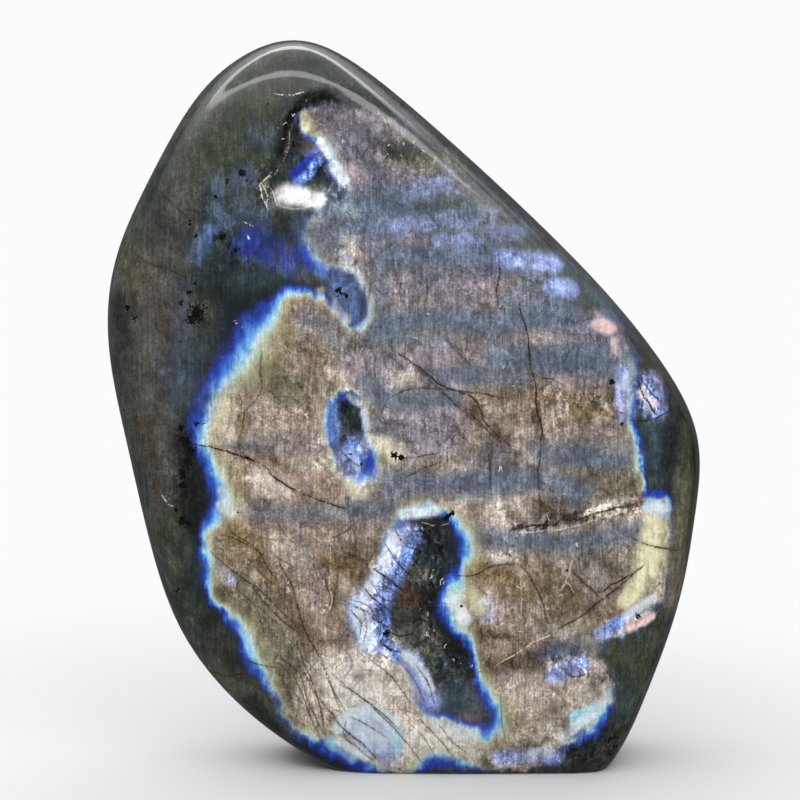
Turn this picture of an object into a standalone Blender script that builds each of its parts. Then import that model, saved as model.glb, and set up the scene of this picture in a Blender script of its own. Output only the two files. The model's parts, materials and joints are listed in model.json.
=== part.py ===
"""A polished labradorite freeform: one upright stone on a flat cut base. Metres, +Z up, front face towards -Y."""

import math

import bmesh
import bpy
import numpy as np
from mathutils import Matrix, Vector

MM = 0.001
STONE = "labradorite_stone"

# The stone's outline, seen from the front, in mm from the middle of its width and from its base: up its left
# side, over the top, down its right side and back under the base. The stretch under z = 0 is cut away.
OUTLINE = [
    (-28.1, 10.6), (-37.6, 23.5), (-42.9, 39.9), (-46.4, 56.1), (-49.1, 72.0), (-47.7, 86.5),
    (-42.2, 99.2), (-36.0, 110.4), (-28.7, 118.7), (-17.9, 123.3), (-6.5, 118.9), (5.8, 108.8),
    (18.4, 97.3), (32.8, 83.1), (43.9, 69.9), (50.9, 56.8), (50.8, 43.3), (48.3, 28.1),
    (43.1, 12.6), (38.1, 1.7), (29.5, -5.0), (13.0, -6.8), (-2.3, -5.5), (-16.6, 1.6),
]
SIDE_CELLS = 6
MIDDLE = (-1.0, 58.0)

# How far the edge of the polished face lies inside the outline, in mm, at numbered points of the outline.
RIM_WIDTH = [(0, 6.0), (3, 6.5), (5, 4.5), (6.5, 2.8), (8, 5.5), (9, 8.5), (10, 6.5), (11.5, 2.8),
             (13, 2.8), (15, 5.5), (17, 7.0), (19, 4.5), (22, 4.0), (24, 6.0)]

# From the face's edge back to the widest ring: shares of the rim's width and of the face's depth.
RIM_SECTION = [(1.0, 1.0), (0.36, 0.84), (0.07, 0.45), (0.0, 0.0)]

# How far the edge of each face stands out from the middle plane at a height, in mm, and the dome on top of it.
FRONT_DEPTH = [(-7.0, 12.0), (0.0, 14.0), (32.0, 16.5), (80.0, 14.5), (110.0, 11.5), (124.0, 9.0)]
BACK_DEPTH = [(-7.0, 11.0), (0.0, 13.0), (32.0, 16.0), (80.0, 14.0), (110.0, 10.0), (124.0, 7.5)]
FRONT_DOME = 4.0
BACK_DOME = 4.5
SMOOTH_LEVELS = 2

# A corner of the surface this near the base plane is drawn onto it, in mm, so that the cut leaves no slivers.
BASE_SNAP = 0.4

# Natural hollows in the front face: name, place on the face (x, z), half width and half height of the mouth, depth,
# all in mm, and how far the long axis leans to the right, in degrees.
HOLLOWS = [
    ("lower_hollow", (-17.2, 100.6), (6.6, 4.6), 1.7, -14.0),
    ("upper_hollow", (-14.8, 109.0), (3.9, 7.4), 1.5, 24.0),
    ("small_pit", (-9.9, 87.6), (1.3, 2.5), 0.8, -35.0),
]
# A hollow is scooped by a flattened ball, which goes in by this share of its own half depth.
SCOOP_SHARE = 0.4
SCOOP_SEGMENTS = 20
SCOOP_RINGS = 12


def clear_scene():
    for obj in list(bpy.data.objects):
        bpy.data.objects.remove(obj, do_unlink=True)


def collection(name):
    made = bpy.data.collections.new(name)
    bpy.context.scene.collection.children.link(made)
    return made


def labradorite():
    """The stone's plain body: grey-green feldspar under a high polish."""
    material = bpy.data.materials.new("polished labradorite")
    material.use_nodes = True
    surface = material.node_tree.nodes["Principled BSDF"]
    surface.inputs["Base Color"].default_value = (0.115, 0.125, 0.12, 1.0)
    surface.inputs["Roughness"].default_value = 0.12
    surface.inputs["Metallic"].default_value = 0.0
    surface.inputs["IOR"].default_value = 1.56
    return material


def cage_ring(points):
    """The cage points whose smooth closed curve passes through the given ones.

    A smoothed cage point lands on a sixth of each neighbour and four sixths of itself.
    """
    count = len(points)
    weights = np.zeros((count, count))
    for row in range(count):
        weights[row, row] = 4 / 6
        weights[row, (row - 1) % count] = 1 / 6
        weights[row, (row + 1) % count] = 1 / 6
    return np.linalg.solve(weights, np.array(points))


def inward(ring):
    """The direction into the stone at each point of a closed ring, at a right angle to its two neighbours."""
    along = np.roll(ring, -1, axis=0) - np.roll(ring, 1, axis=0)
    across = np.stack([along[:, 1], -along[:, 0]], axis=1)
    return across / np.linalg.norm(across, axis=1, keepdims=True)


def along_ring(ring, place):
    """The point of a closed ring at a place between its numbered points."""
    low = int(place) % len(ring)
    share = place - int(place)
    return ring[low] * (1 - share) + ring[(low + 1) % len(ring)] * share


def place_on_ring(across, up):
    """Where a point of the square's edge lies along the outline, numbered from the lower left corner."""
    reach = max(abs(across), abs(up))
    side = SIDE_CELLS / 2
    if reach == 0:
        return 0.0
    if across == -reach:
        return side * (1 + up / reach)
    if up == reach:
        return SIDE_CELLS + side * (1 + across / reach)
    if across == reach:
        return 2 * SIDE_CELLS + side * (1 - up / reach)
    return 3 * SIDE_CELLS + side * (1 - across / reach)


def table(pairs, value):
    return float(np.interp(value, [p[0] for p in pairs], [p[1] for p in pairs]))


def stone_point(cell, ring, inside):
    """The place in mm of one point of the cube, whose cell coordinates run from -1 to 1."""
    across, through, up = cell
    reach = max(abs(across), abs(up))
    place = place_on_ring(across, up)
    step = round((1 - abs(through)) * SIDE_CELLS / 2)
    width_share, depth_share = RIM_SECTION[step]
    inset = table(RIM_WIDTH, place % (4 * SIDE_CELLS)) * width_share
    edge = along_ring(ring, place) + along_ring(inside, place) * inset
    x, z = np.array(MIDDLE) + (edge - np.array(MIDDLE)) * reach
    if through < 0:
        y = -depth_share * (table(FRONT_DEPTH, z) + FRONT_DOME * (1 - reach**2))
    else:
        y = depth_share * (table(BACK_DEPTH, z) + BACK_DOME * (1 - reach**2))
    return x, y, z


def pebble_form():
    """The whole pebble before its base is cut: a cube of cells laid on the stone's cage, then smoothed."""
    ring = cage_ring(OUTLINE)
    inside = inward(ring)
    cage = bpy.data.meshes.new("cage")
    shape = bmesh.new()
    bmesh.ops.create_cube(shape, size=2)
    bmesh.ops.subdivide_edges(shape, edges=shape.edges[:], cuts=SIDE_CELLS - 1, use_grid_fill=True)
    half = SIDE_CELLS / 2
    for vertex in shape.verts:
        cell = [round(c * half) / half for c in vertex.co]
        vertex.co = [c * MM for c in stone_point(cell, ring, inside)]
    shape.to_mesh(cage)
    shape.free()
    pebble = bpy.data.objects.new("cage", cage)
    bpy.context.scene.collection.objects.link(pebble)
    smooth = pebble.modifiers.new("smooth", "SUBSURF")
    smooth.levels = SMOOTH_LEVELS
    smooth.render_levels = SMOOTH_LEVELS
    bpy.context.view_layer.update()
    form = bpy.data.meshes.new_from_object(pebble.evaluated_get(bpy.context.evaluated_depsgraph_get()))
    bpy.data.objects.remove(pebble)
    return form


def cut_base(mesh):
    """Cuts the mesh flat at z = 0 and closes the cut, as the saw and the lap leave a stone's foot."""
    shape = bmesh.new()
    shape.from_mesh(mesh)
    everything = shape.verts[:] + shape.edges[:] + shape.faces[:]
    cut = bmesh.ops.bisect_plane(
        shape, geom=everything, dist=BASE_SNAP * MM, plane_co=(0, 0, 0), plane_no=(0, 0, 1), clear_inner=True
    )
    for item in cut["geom_cut"]:
        if isinstance(item, bmesh.types.BMVert):
            item.co.z = 0.0
    open_edges = [edge for edge in shape.edges if edge.is_boundary]
    bmesh.ops.edgeloop_fill(shape, edges=open_edges)
    bmesh.ops.recalc_face_normals(shape, faces=shape.faces[:])
    shape.to_mesh(mesh)
    shape.free()


def centre_over_base(mesh):
    """Moves the mesh so that its box stands centred over the origin."""
    points = np.array([vertex.co for vertex in mesh.vertices])
    low, high = points.min(axis=0), points.max(axis=0)
    mesh.transform(Matrix.Translation((-(low[0] + high[0]) / 2, -(low[1] + high[1]) / 2, -low[2])))


def front_surface(stone, x, z):
    """The point of the front face at x and z in mm, and the direction that it faces."""
    far_in_front = Vector((x * MM, -0.1, z * MM))
    hit, point, normal, _ = stone.ray_cast(far_in_front, Vector((0, 1, 0)))
    assert hit, "a hollow lies off the stone"
    return point, normal


def scoop(stone, name, place, mouth, depth, lean, cutters):
    """A ball-shaped cutter that leaves a hollow of that mouth and depth in the front face."""
    point, normal = front_surface(stone, *place)
    half_depth = depth * MM / SCOOP_SHARE
    mouth_share = math.sqrt(1 - (1 - SCOOP_SHARE) ** 2)
    size = Vector((mouth[0] * MM / mouth_share, mouth[1] * MM / mouth_share, half_depth))
    turn = normal.to_track_quat("Z", "Y") @ Matrix.Rotation(math.radians(-lean), 3, "Z").to_quaternion()
    middle = point + normal * (half_depth - depth * MM)
    mesh = bpy.data.meshes.new(name)
    ball = bmesh.new()
    bmesh.ops.create_uvsphere(ball, u_segments=SCOOP_SEGMENTS, v_segments=SCOOP_RINGS, radius=1)
    ball.to_mesh(mesh)
    ball.free()
    mesh.transform(Matrix.LocRotScale(middle, turn, size))
    cutter = bpy.data.objects.new(name, mesh)
    cutter.hide_render = True
    cutter.display_type = "WIRE"
    cutters.objects.link(cutter)
    return cutter


def main():
    clear_scene()
    parts = collection("labradorite freeform")
    cutters = collection("cutters")
    form = pebble_form()
    cut_base(form)
    centre_over_base(form)
    form.name = STONE
    form.materials.append(labradorite())
    form.shade_smooth()
    stone = bpy.data.objects.new(STONE, form)
    parts.objects.link(stone)
    bpy.context.view_layer.update()
    scoops = [scoop(stone, *hollow, cutters) for hollow in HOLLOWS]
    for cutter in scoops:
        cut = stone.modifiers.new(cutter.name, "BOOLEAN")
        cut.operation = "DIFFERENCE"
        cut.object = cutter


main()
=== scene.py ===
# %% [markdown]
# # A polished labradorite, dressed for its portrait
#
# Labradorite is a grey-green feldspar. Inside it lie thousands of thin sheets, which throw back blue, cyan
# and gold light where the cut runs nearly along them: the flash. This stone was ground to a free form, cut
# flat at its foot and polished all over. The model has one piece. Its shape comes from the fixed frame, and
# this file gives it a fine surface and the finish: flash, twin lines, cracks and specks.

# %% The fixed frame
import json
import math

import bmesh
import bpy
import numpy as np
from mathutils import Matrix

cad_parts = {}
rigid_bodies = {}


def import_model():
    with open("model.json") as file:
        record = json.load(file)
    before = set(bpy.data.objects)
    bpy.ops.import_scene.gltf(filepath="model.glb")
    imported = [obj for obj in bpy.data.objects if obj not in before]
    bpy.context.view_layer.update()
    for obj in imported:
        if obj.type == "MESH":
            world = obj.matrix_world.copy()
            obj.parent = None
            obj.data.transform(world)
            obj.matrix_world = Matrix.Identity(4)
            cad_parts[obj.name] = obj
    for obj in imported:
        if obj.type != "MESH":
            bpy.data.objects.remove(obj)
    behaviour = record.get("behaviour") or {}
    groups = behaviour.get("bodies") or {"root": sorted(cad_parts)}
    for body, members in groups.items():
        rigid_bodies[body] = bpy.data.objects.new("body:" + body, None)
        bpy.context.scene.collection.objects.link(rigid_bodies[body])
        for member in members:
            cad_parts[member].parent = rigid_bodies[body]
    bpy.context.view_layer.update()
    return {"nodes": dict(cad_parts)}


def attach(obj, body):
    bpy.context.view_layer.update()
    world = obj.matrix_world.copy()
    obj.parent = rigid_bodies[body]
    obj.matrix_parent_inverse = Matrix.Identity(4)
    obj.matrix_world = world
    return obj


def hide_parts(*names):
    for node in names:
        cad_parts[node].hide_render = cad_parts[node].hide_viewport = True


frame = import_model()
MM = 0.001
STONE_NODE = "labradorite_stone"

# %% [markdown]
# ## The camera
#
# The photo looks slightly down on the stone from the front. Its edges hardly converge, so the camera stands
# about five stone heights away, with a long lens. One pixel of the photo is 0.17 mm at the stone. The same
# numbers tell which pixel shows a point of the stone, and that is how the markings find their places.

# %% Camera at the photo's angle
PHOTO_SIDE = 800
STONE_MIDDLE_PX = 404.6
PX_MM = 0.17
SENSOR_MM = 36.0
CAMERA_DISTANCE = 0.60
CAMERA_TILT = math.radians(9)
TARGET = np.array([(PHOTO_SIDE / 2 - STONE_MIDDLE_PX) * PX_MM * MM, 0.0, 0.062])
FOCAL_PX = CAMERA_DISTANCE / (PX_MM * MM)

backwards = np.array([0.0, -math.cos(CAMERA_TILT), math.sin(CAMERA_TILT)])
bpy.ops.object.camera_add(
    location=TARGET + backwards * CAMERA_DISTANCE, rotation=(math.radians(90) - CAMERA_TILT, 0, 0)
)
camera = bpy.context.object
camera.name = "portrait_camera"
camera.data.sensor_width = SENSOR_MM
camera.data.lens = FOCAL_PX * SENSOR_MM / PHOTO_SIDE
bpy.context.scene.camera = camera
print("lens, mm:", round(camera.data.lens, 1))


def photo_places(points):
    """The photo's pixels, x to the right and y down, where the camera sees points given in metres."""
    offset = points - TARGET
    sine, cosine = math.sin(CAMERA_TILT), math.cos(CAMERA_TILT)
    depth = CAMERA_DISTANCE + offset[:, 1] * cosine - offset[:, 2] * sine
    across = PHOTO_SIDE / 2 + FOCAL_PX * offset[:, 0] / depth
    down = PHOTO_SIDE / 2 - FOCAL_PX * (offset[:, 2] * cosine + offset[:, 1] * sine) / depth
    return np.stack([across, down], axis=1)


# %% [markdown]
# ## A smooth skin for the stone
#
# The frame's solid has flat facets a few millimetres wide, and a mirror polish would show each of them. A
# copy is taken, its loose triangles are merged and joined to quads, and Subdivision Surface rounds them.
# Voxel Remesh then lays an even net over everything, also over the hollows, where the facets run wild. The
# foot's edge is creased first, so that it stays where the saw left it.

# %% Copy, merge and round the solid
MERGE_DISTANCE = 1e-6
QUAD_ANGLE = math.radians(50)
QUAD_SHAPE_ANGLE = math.radians(60)
FOOT_HEIGHT = 0.05 * MM
LEVEL_NORMAL = 0.9
ROUNDING_LEVELS = 2
VOXEL = 0.85 * MM
SMOOTHING_ROUNDS = 6

bpy.ops.object.select_all(action="DESELECT")
stone = bpy.data.objects.new("polished_stone", frame["nodes"][STONE_NODE].data.copy())
bpy.context.scene.collection.objects.link(stone)
stone.select_set(True)
bpy.context.view_layer.objects.active = stone
stone.data.materials.clear()


def finish_modifier(name, kind, **settings):
    """Adds a modifier to the stone and applies it."""
    modifier = stone.modifiers.new(name, kind)
    for key, value in settings.items():
        setattr(modifier, key, value)
    bpy.ops.object.modifier_apply(modifier=name)


bpy.ops.object.mode_set(mode="EDIT")
bpy.ops.mesh.customdata_custom_splitnormals_clear()
bpy.ops.mesh.select_all(action="SELECT")
bpy.ops.mesh.remove_doubles(threshold=MERGE_DISTANCE)
bpy.ops.mesh.tris_convert_to_quads(face_threshold=QUAD_ANGLE, shape_threshold=QUAD_SHAPE_ANGLE)
bpy.ops.mesh.select_all(action="DESELECT")
cage = bmesh.from_edit_mesh(stone.data)
for edge in cage.edges:
    on_foot = all(vertex.co.z < FOOT_HEIGHT for vertex in edge.verts)
    edge.select = on_foot and any(abs(face.normal.z) < LEVEL_NORMAL for face in edge.link_faces)
bmesh.update_edit_mesh(stone.data)
bpy.ops.transform.edge_crease(value=1.0)
bpy.ops.object.mode_set(mode="OBJECT")
finish_modifier("round", "SUBSURF", levels=ROUNDING_LEVELS, render_levels=ROUNDING_LEVELS)
finish_modifier("net", "REMESH", mode="VOXEL", voxel_size=VOXEL)
finish_modifier("relax", "SMOOTH", factor=0.5, iterations=SMOOTHING_ROUNDS)
print("even net:", len(stone.data.vertices), "points")

# %% [markdown]
# ## A finer net on the face
#
# The face carries thin cracks and chipped edges, so its net has to be finer than that of the back. The faces
# that look forwards are selected by their normal and subdivided once more.

# %% Subdivide what looks forwards
FACE_TURN = -0.45

bpy.ops.object.mode_set(mode="EDIT")
bpy.ops.mesh.select_mode(type="FACE")
bpy.ops.mesh.select_all(action="DESELECT")
net = bmesh.from_edit_mesh(stone.data)
for polygon in net.faces:
    polygon.select = polygon.normal.y < FACE_TURN
bmesh.update_edit_mesh(stone.data)
bpy.ops.mesh.subdivide(number_cuts=1, smoothness=1.0)
bpy.ops.object.mode_set(mode="OBJECT")
finish_modifier("settle", "SMOOTH", factor=0.5, iterations=2)
print("net with a fine face:", len(stone.data.vertices), "points")

# %% [markdown]
# ## Measuring places on the face
#
# Every marking is drawn as a line or a closed outline of pixels of the photo. For each point of the mesh,
# the helpers below give its distance to such a line. Distances change evenly from point to point, so the
# shader can cut a sharp edge anywhere between two points of the net, however coarse it is.

# %% Distances to drawn lines
def rows_of(items, key):
    """One row of three numbers for each item of a mesh."""
    numbers = np.empty(len(items) * 3, np.float32)
    items.foreach_get(key, numbers)
    return numbers.reshape(-1, 3).astype(float)


def smooth_step(low, high, value):
    share = np.clip((value - low) / (high - low), 0, 1)
    return share * share * (3 - 2 * share)


def rounded(points, steps=4):
    """A smooth line through given rows, with that many pieces between two of them."""
    rows = np.array(points, float)
    padded = np.vstack([2 * rows[0] - rows[1], rows, 2 * rows[-1] - rows[-2]])
    made = []
    for before, start, end, after in zip(padded, padded[1:], padded[2:], padded[3:]):
        for share in np.arange(steps) / steps:
            slope = (end - before) * share
            bend = (2 * before - 5 * start + 4 * end - after) * share**2
            turn = (3 * start - before - 3 * end + after) * share**3
            made.append(start + (slope + bend + turn) / 2)
    return np.array(made + [rows[-1]])


def from_line(where, line):
    """Each place's distance to a line, its side (1 or -1), and how many pieces along it is nearest."""
    nearest = np.full(len(where), np.inf)
    side = np.ones(len(where))
    along = np.zeros(len(where))
    for number, (start, end) in enumerate(zip(line[:-1, :2], line[1:, :2])):
        run = end - start
        offset = where - start
        share = np.clip(offset @ run / max(run @ run, 1e-9), 0, 1)
        gap = np.linalg.norm(offset - share[:, None] * run, axis=1)
        nearer = gap < nearest
        nearest[nearer] = gap[nearer]
        side[nearer] = np.sign(run[0] * offset[:, 1] - run[1] * offset[:, 0])[nearer]
        along[nearer] = number + share[nearer]
    return nearest, side, along


def within(where, outline):
    """Which places lie inside a closed outline."""
    inside = np.zeros(len(where), bool)
    x, y = where[:, 0], where[:, 1]
    for (x0, y0), (x1, y1) in zip(outline[:, :2], np.roll(outline[:, :2], -1, axis=0)):
        if y0 != y1:
            crosses = (y0 > y) != (y1 > y)
            inside ^= crosses & (x < (x1 - x0) * (y - y0) / (y1 - y0) + x0)
    return inside


kept_names = []


def keep(name, values):
    """Stores one number for each point of the stone, for its material to read."""
    layer = stone.data.attributes.new(name, "FLOAT", "POINT")
    layer.data.foreach_set("value", values.astype(np.float32))
    kept_names.append(name)


face_points = rows_of(stone.data.vertices, "co")
normals = rows_of(stone.data.vertex_normals, "vector")
places = photo_places(face_points)
behind = normals[:, 1] >= 0
print("points in front:", int((~behind).sum()), "of", len(face_points))

# %% [markdown]
# ## The flash and its edge
#
# The flash fills the middle of the face and leaves two dark islands. Its edge is a rainbow a few millimetres
# wide: deep blue outside, then ice blue, then pale gold. Each point below is x, y, how strongly that rainbow
# shows there, and how wide it is. Where the strength is 0, the flash fades into the grey body without one.

# %% Outlines of the flash
FLASH_OUTLINE = [
    (330, 212, 0.1, 0.6), (308, 219, 0.15, 0.6), (302, 234, 0.3, 0.6), (306, 250, 0.6, 0.8),
    (317, 264, 0.6, 0.7), (334, 270, 0.25, 0.6), (353, 276, 0.2, 0.5), (363, 291, 0.3, 0.5),
    (367, 311, 0.4, 0.5), (362, 326, 0.5, 0.5), (350, 325, 0.5, 0.5), (338, 311, 0.6, 0.6),
    (324, 298, 0.7, 0.6), (306, 291, 0.8, 0.6), (288, 293, 1.0, 0.8), (276, 302, 1.0, 1.0),
    (266, 317, 1.0, 1.5), (252, 331, 1.0, 1.9), (242, 348, 1.0, 2.0), (232, 364, 1.0, 1.7),
    (216, 382, 0.9, 1.4), (208, 397, 0.75, 1.3), (204, 414, 0.75, 1.4), (200, 430, 0.9, 1.2),
    (202, 445, 1.0, 0.9), (207, 458, 1.0, 0.9), (213, 472, 1.0, 1.0), (219, 487, 1.0, 1.0),
    (221, 501, 1.0, 1.1), (214, 517, 1.0, 1.0), (204, 530, 1.0, 0.7), (203, 546, 1.0, 0.6),
    (205, 562, 1.0, 0.8), (207, 577, 1.0, 0.9), (207, 591, 1.0, 0.6), (213, 602, 1.0, 0.5),
    (224, 612, 1.0, 0.6), (237, 625, 1.0, 0.7), (246, 640, 1.0, 0.8), (250, 655, 1.0, 0.8),
    (257, 668, 0.8, 0.9), (268, 682, 0.7, 0.7), (276, 698, 0.5, 0.6), (281, 714, 0.4, 0.5),
    (292, 727, 0.6, 0.5), (308, 739, 0.9, 0.7), (332, 750, 1.0, 1.0), (354, 760, 1.0, 1.0),
    (372, 770, 0.8, 0.8), (398, 776, 0.1, 0.5), (416, 771, 0.6, 0.7), (428, 760, 1.0, 0.9),
    (444, 757, 1.0, 0.9), (458, 762, 0.9, 0.7), (478, 770, 0.4, 0.6), (505, 772, 0.1, 0.6),
    (540, 766, 0.1, 0.6), (562, 749, 0.4, 0.5), (578, 739, 0.8, 0.6), (595, 727, 0.9, 0.8),
    (607, 706, 0.8, 0.7), (611, 686, 0.2, 0.6), (604, 662, 0.0, 0.8), (602, 645, 0.2, 0.7),
    (622, 636, 0.3, 0.5), (645, 620, 0.3, 0.5), (659, 603, 0.2, 0.5), (667, 580, 0.2, 0.4),
    (670, 550, 0.1, 0.4), (670, 520, 0.3, 0.5), (668, 500, 0.7, 0.5), (655, 496, 1.0, 0.6),
    (645, 492, 1.0, 0.4), (642, 470, 0.85, 0.4), (638, 448, 0.8, 0.4), (633, 425, 0.8, 0.4),
    (630, 408, 0.7, 0.5), (634, 390, 0.5, 0.6), (637, 374, 0.5, 0.6), (630, 352, 0.1, 1.0),
    (613, 334, 0.0, 2.0), (592, 308, 0.0, 2.0), (572, 286, 0.0, 2.0), (548, 260, 0.0, 2.0),
    (520, 234, 0.0, 2.0), (494, 210, 0.0, 2.0), (472, 190, 0.0, 2.0), (450, 168, 0.0, 1.5),
    (424, 147, 0.0, 1.2), (400, 124, 0.0, 0.8), (382, 116, 0.0, 0.8), (360, 110, 0.0, 0.8),
    (335, 107, 0.0, 0.6), (314, 109, 0.1, 0.5), (301, 120, 0.4, 0.6), (305, 131, 0.6, 0.5),
    (318, 141, 0.7, 0.5), (328, 154, 0.8, 0.5), (331, 168, 0.7, 0.5), (340, 182, 0.3, 0.5),
    (346, 197, 0.1, 0.5), (341, 207, 0.05, 0.5),
]
UPPER_ISLAND = [
    (334, 398, 0.5, 0.4), (345, 391, 0.5, 0.4), (355, 396, 0.4, 0.4), (361, 408, 0.3, 0.4),
    (364, 424, 0.4, 0.4), (366, 440, 0.5, 0.5), (373, 455, 0.7, 0.6), (371, 470, 0.7, 0.7),
    (358, 480, 0.6, 0.8), (346, 475, 0.5, 0.7), (338, 460, 0.5, 0.6), (331, 443, 0.5, 0.5),
    (328, 425, 0.5, 0.5), (330, 410, 0.5, 0.5),
]
LOWER_ISLAND = [
    (402, 518, 0.5, 0.6), (420, 510, 0.8, 0.7), (440, 512, 0.8, 0.6), (455, 524, 1.0, 0.7),
    (463, 538, 1.0, 0.8), (464, 555, 1.0, 0.8), (459, 572, 1.0, 0.8), (450, 588, 1.0, 0.8),
    (444, 603, 1.0, 0.8), (448, 618, 1.0, 0.8), (459, 632, 1.0, 0.7), (470, 648, 1.0, 0.6),
    (476, 664, 1.0, 0.5), (482, 684, 1.0, 0.7), (490, 700, 1.0, 0.9), (497, 714, 1.0, 1.0),
    (492, 730, 1.0, 1.0), (479, 734, 1.0, 0.8), (462, 722, 0.9, 0.6), (440, 717, 0.8, 0.5),
    (424, 712, 0.5, 0.5), (416, 698, 0.3, 0.5), (412, 682, 0.3, 0.5), (405, 668, 0.3, 0.5),
    (392, 658, 0.3, 0.5), (376, 652, 0.2, 0.5), (359, 640, 0.1, 0.5), (352, 625, 0.1, 0.5),
    (349, 611, 0.1, 0.5), (360, 598, 0.1, 0.5), (372, 584, 0.1, 0.5), (378, 566, 0.1, 0.5),
    (384, 548, 0.1, 0.6), (392, 531, 0.3, 0.6),
]


def edge_distance(outline):
    """Millimetres into a closed outline for each point, with the rainbow's strength and width beside it."""
    line = rounded(outline + outline[:1])
    gap, _, along = from_line(places, line)
    into = np.where(within(places, line), gap, -gap) * PX_MM
    strength, width = (np.interp(along, np.arange(len(line)), line[:, column]) for column in (2, 3))
    return into, strength, width


flash, rainbow, rainbow_width = edge_distance(FLASH_OUTLINE)
for island in (UPPER_ISLAND, LOWER_ISLAND):
    into, strength, width = edge_distance(island)
    nearer = -into < flash
    flash[nearer] = -into[nearer]
    rainbow[nearer] = strength[nearer]
    rainbow_width[nearer] = width[nearer]
print("flash covers", round(100 * float((flash > 0).mean())), "% of the points")

# %% [markdown]
# ## The back
#
# The photo doesn't show the back. Such a stone has a weaker flash there as a rule, in long streaks that
# follow the same sheets. Each streak is half its width and a line, in millimetres, seen from the front. It
# thins out towards its ends, waves make its edge uneven, and a few faint colours fill it.

# %% Streaks of flash on the back
BACK_STREAKS = [
    (6.0, [(-27, 90), (-14, 86), (2, 76), (16, 66), (31, 52)]),
    (3.4, [(-20, 101), (-8, 100), (6, 92), (14, 86)]), (2.6, [(-36, 82), (-24, 78), (-14, 73)]),
    (4.6, [(-38, 68), (-22, 63), (-6, 55), (10, 46), (18, 38)]), (2.2, [(12, 58), (24, 48), (36, 42)]),
    (6.4, [(-32, 46), (-16, 40), (0, 31), (14, 24), (30, 14)]), (3.0, [(-24, 28), (-12, 22), (4, 13)]),
]
BACK_RAINBOW = 0.25
BACK_RAINBOW_WIDTH = 3.2
BACK_WOBBLE_MM = 2.2
BACK_VEILS = {"slate": 0.7, "teal": 0.55, "haze": 0.5, "mauve": 0.3, "lavender": 0.1, "azure": 0.3}
BLANK_DISTANCE = 9.0
seen_flat = face_points[:, [0, 2]] / MM
back_flash = np.full(len(places), -BLANK_DISTANCE)
for half_width, points in BACK_STREAKS:
    line = rounded(points)
    gap, _, along = from_line(seen_flat, line)
    taper = 0.25 + 0.75 * np.sin(np.pi * along / (len(line) - 1))
    back_flash = np.maximum(back_flash, half_width * taper - gap)
across, up = seen_flat.T
wave = np.sin(across / 2.9 + 2.0 * np.sin(up / 6.1)) * np.sin(up / 4.3)
back_flash = back_flash + BACK_WOBBLE_MM * wave
back_share = smooth_step(-1.0, 3.0, back_flash)
keep("flash", np.where(behind, back_flash, flash))
keep("rainbow", np.where(behind, BACK_RAINBOW, rainbow))
keep("rainbow_width", np.where(behind, BACK_RAINBOW_WIDTH, rainbow_width))
print("streaks on the back:", len(BACK_STREAKS))

# %% [markdown]
# ## Veils of colour
#
# Inside the flash, the sheets lie at slightly different angles from one twin band to the next, so blue-grey
# bands alternate with mauve and brown ones. Each is a soft brush stroke: half its width, its strength, and
# the pixels that it runs through.

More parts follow.
